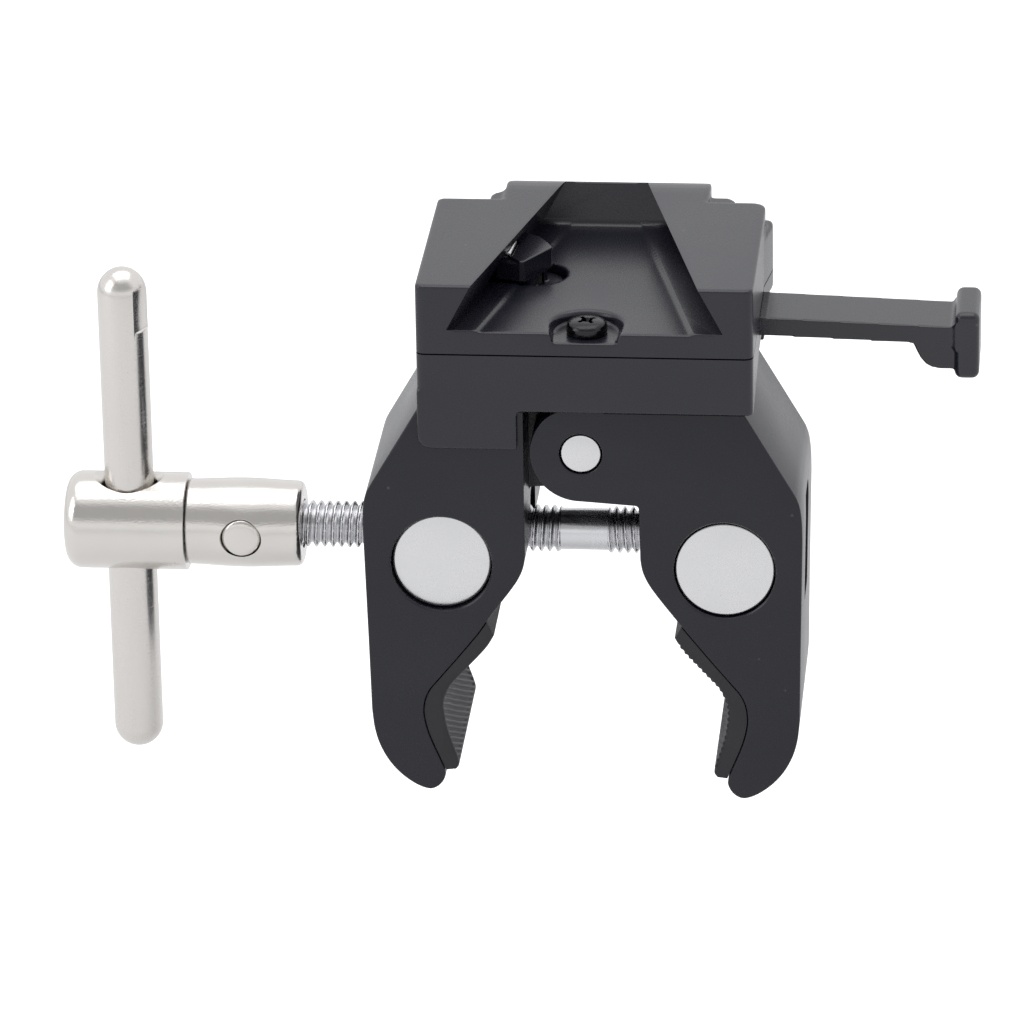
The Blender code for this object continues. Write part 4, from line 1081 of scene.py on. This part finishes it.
def studio_floor():
    shader = Shader("studio_floor", (0.93, 0.93, 0.93), rough=0.9, metal=0.0, specular=0.0)
    # what the camera sees of the floor is pure white; the metal reflects it a little greyer
    seen = shader.new("LightPath").outputs["Is Camera Ray"]
    base = shader.tint(seen, (0.80, 0.80, 0.805), (0.93, 0.93, 0.93))
    shader.feed(shader.inputs["Base Color"], base)
    shader.feed(shader.inputs["Emission Color"], (1, 1, 1))
    shader.feed(shader.inputs["Emission Strength"], shader.maths("MULTIPLY", seen, 0.3))
    bm = bmesh.new()
    bmesh.ops.create_grid(bm, x_segments=2, y_segments=2, size=6.0)
    ground = from_bm("studio_floor", bm, SCENE.collection)
    ground.location.z = GROUND_Z - ORIGIN.z
    ground.data.materials.append(shader.mat)


def light_tent():
    """A white tent, darker only in a band of the front."""
    world = bpy.data.worlds.new("studio")
    SCENE.world = world
    world.use_nodes = True
    world.node_tree.nodes.clear()
    graph = Graph(world.node_tree)
    output = graph.new("OutputWorld")
    background = graph.new("Background", {"Color": (0.985, 0.99, 1.0)})
    graph.feed(output.inputs[0], background.outputs[0])
    direction = graph.new("TexCoord").outputs["Generated"]
    split = graph.new("SeparateXYZ", {"Vector": direction})
    y, z = split.outputs[1], split.outputs[2]

    def smooth(value, source, target):
        return graph.span(value, source, target, "SMOOTHSTEP")

    front = smooth(graph.maths("MULTIPLY", y, -1.0), (0.15, 0.55), (0.0, 1.0))
    band = graph.maths("MULTIPLY", smooth(z, (0.26, 0.36), (0.0, 1.0)),
                       smooth(z, (0.80, 0.90), (1.0, 0.0)))
    dark = graph.maths("MULTIPLY", front, band)
    level = graph.maths("SUBTRACT", 1.04, graph.maths("MULTIPLY", dark, 0.5))
    # the camera itself sees an even 1.05; sockets are the factor, A and B
    seen = graph.new("LightPath").outputs["Is Camera Ray"]
    strength = graph.new("Mix", {0: seen, 2: level, 3: 1.05}, data_type="FLOAT")
    graph.feed(background.inputs["Strength"], strength.outputs[0])


def area_light(name, place, aim, size, power):
    """Place, aim and size in metres, power in watts."""
    light = bpy.data.lights.new(name, "AREA")
    light.shape = "RECTANGLE"
    light.size, light.size_y = size
    light.energy = power
    lamp = bpy.data.objects.new(name, light)
    SCENE.collection.objects.link(lamp)
    lamp.location = Vector(place) - ORIGIN
    lamp.rotation_mode = "QUATERNION"
    lamp.rotation_quaternion = (Vector(aim) - Vector(place)).to_track_quat("-Z", "Y")


def add_camera():
    """Looks from the front and a little above."""
    back = Vector((math.sin(AZIMUTH) * math.cos(ELEVATION),
                   -math.cos(AZIMUTH) * math.cos(ELEVATION), math.sin(ELEVATION)))
    side = Vector((math.cos(AZIMUTH), math.sin(AZIMUTH), 0))
    up = back.cross(side)
    side, up = (math.cos(ROLL_BY) * side + math.sin(ROLL_BY) * up,
                -math.sin(ROLL_BY) * side + math.cos(ROLL_BY) * up)
    data = bpy.data.cameras.new("camera")
    data.sensor_width = SENSOR
    data.lens = LENS
    data.clip_start, data.clip_end = 0.05, 50
    camera = bpy.data.objects.new("camera", data)
    SCENE.collection.objects.link(camera)
    place = Vector(CAMERA_TARGET) * MM - ORIGIN + back * CAMERA_DISTANCE * MM
    axes = Matrix((side, up, back)).transposed().to_4x4()
    camera.matrix_world = Matrix.Translation(place) @ axes
    SCENE.camera = camera


# ------------------------------------------------------------ build
left_claw()
right_claw()
hinge_pin()
pad("left_pad_ribbed", -1, "fixed_jaw", "left_pad")
pad("right_pad_ribbed", 1, "moving_jaw", "right_pad")
dowel("left_dowel", -1, front_inset=0.8, way_radius=4.45, shift=(0, 0))
dowel("right_dowel", 1, front_inset=0, way_radius=4.6, shift=(0.21, -0.26))
clamp_screw()
snap_ring()
handle_head()
neck_sleeve()
cross_pin()
t_bar()

drawing["mid_y"] = 0.0          # the receiver is drawn at its true y
top_shell()
base_shell()
release_bar()
latch_catch()
wear_pin()
pan_screw()
for row in SOCKET_SCREWS:
    socket_screw(*row)
return_spring()

studio_floor()
light_tent()
area_light("soft_top", place=(-0.05, 0.15, 0.85), aim=(0, 0, 0), size=(0.9, 0.7), power=2.6)
area_light("soft_left", place=(-0.8, -0.35, 0.45), aim=(-0.02, 0, 0), size=(0.5, 0.6), power=1.6)
add_camera()
SCENE.view_settings.view_transform = "Standard"
SCENE.view_settings.look = "None"

for obj in list(SCRATCH.objects):
    bpy.data.objects.remove(obj)
bpy.data.collections.remove(SCRATCH)

bpy.context.view_layer.update()
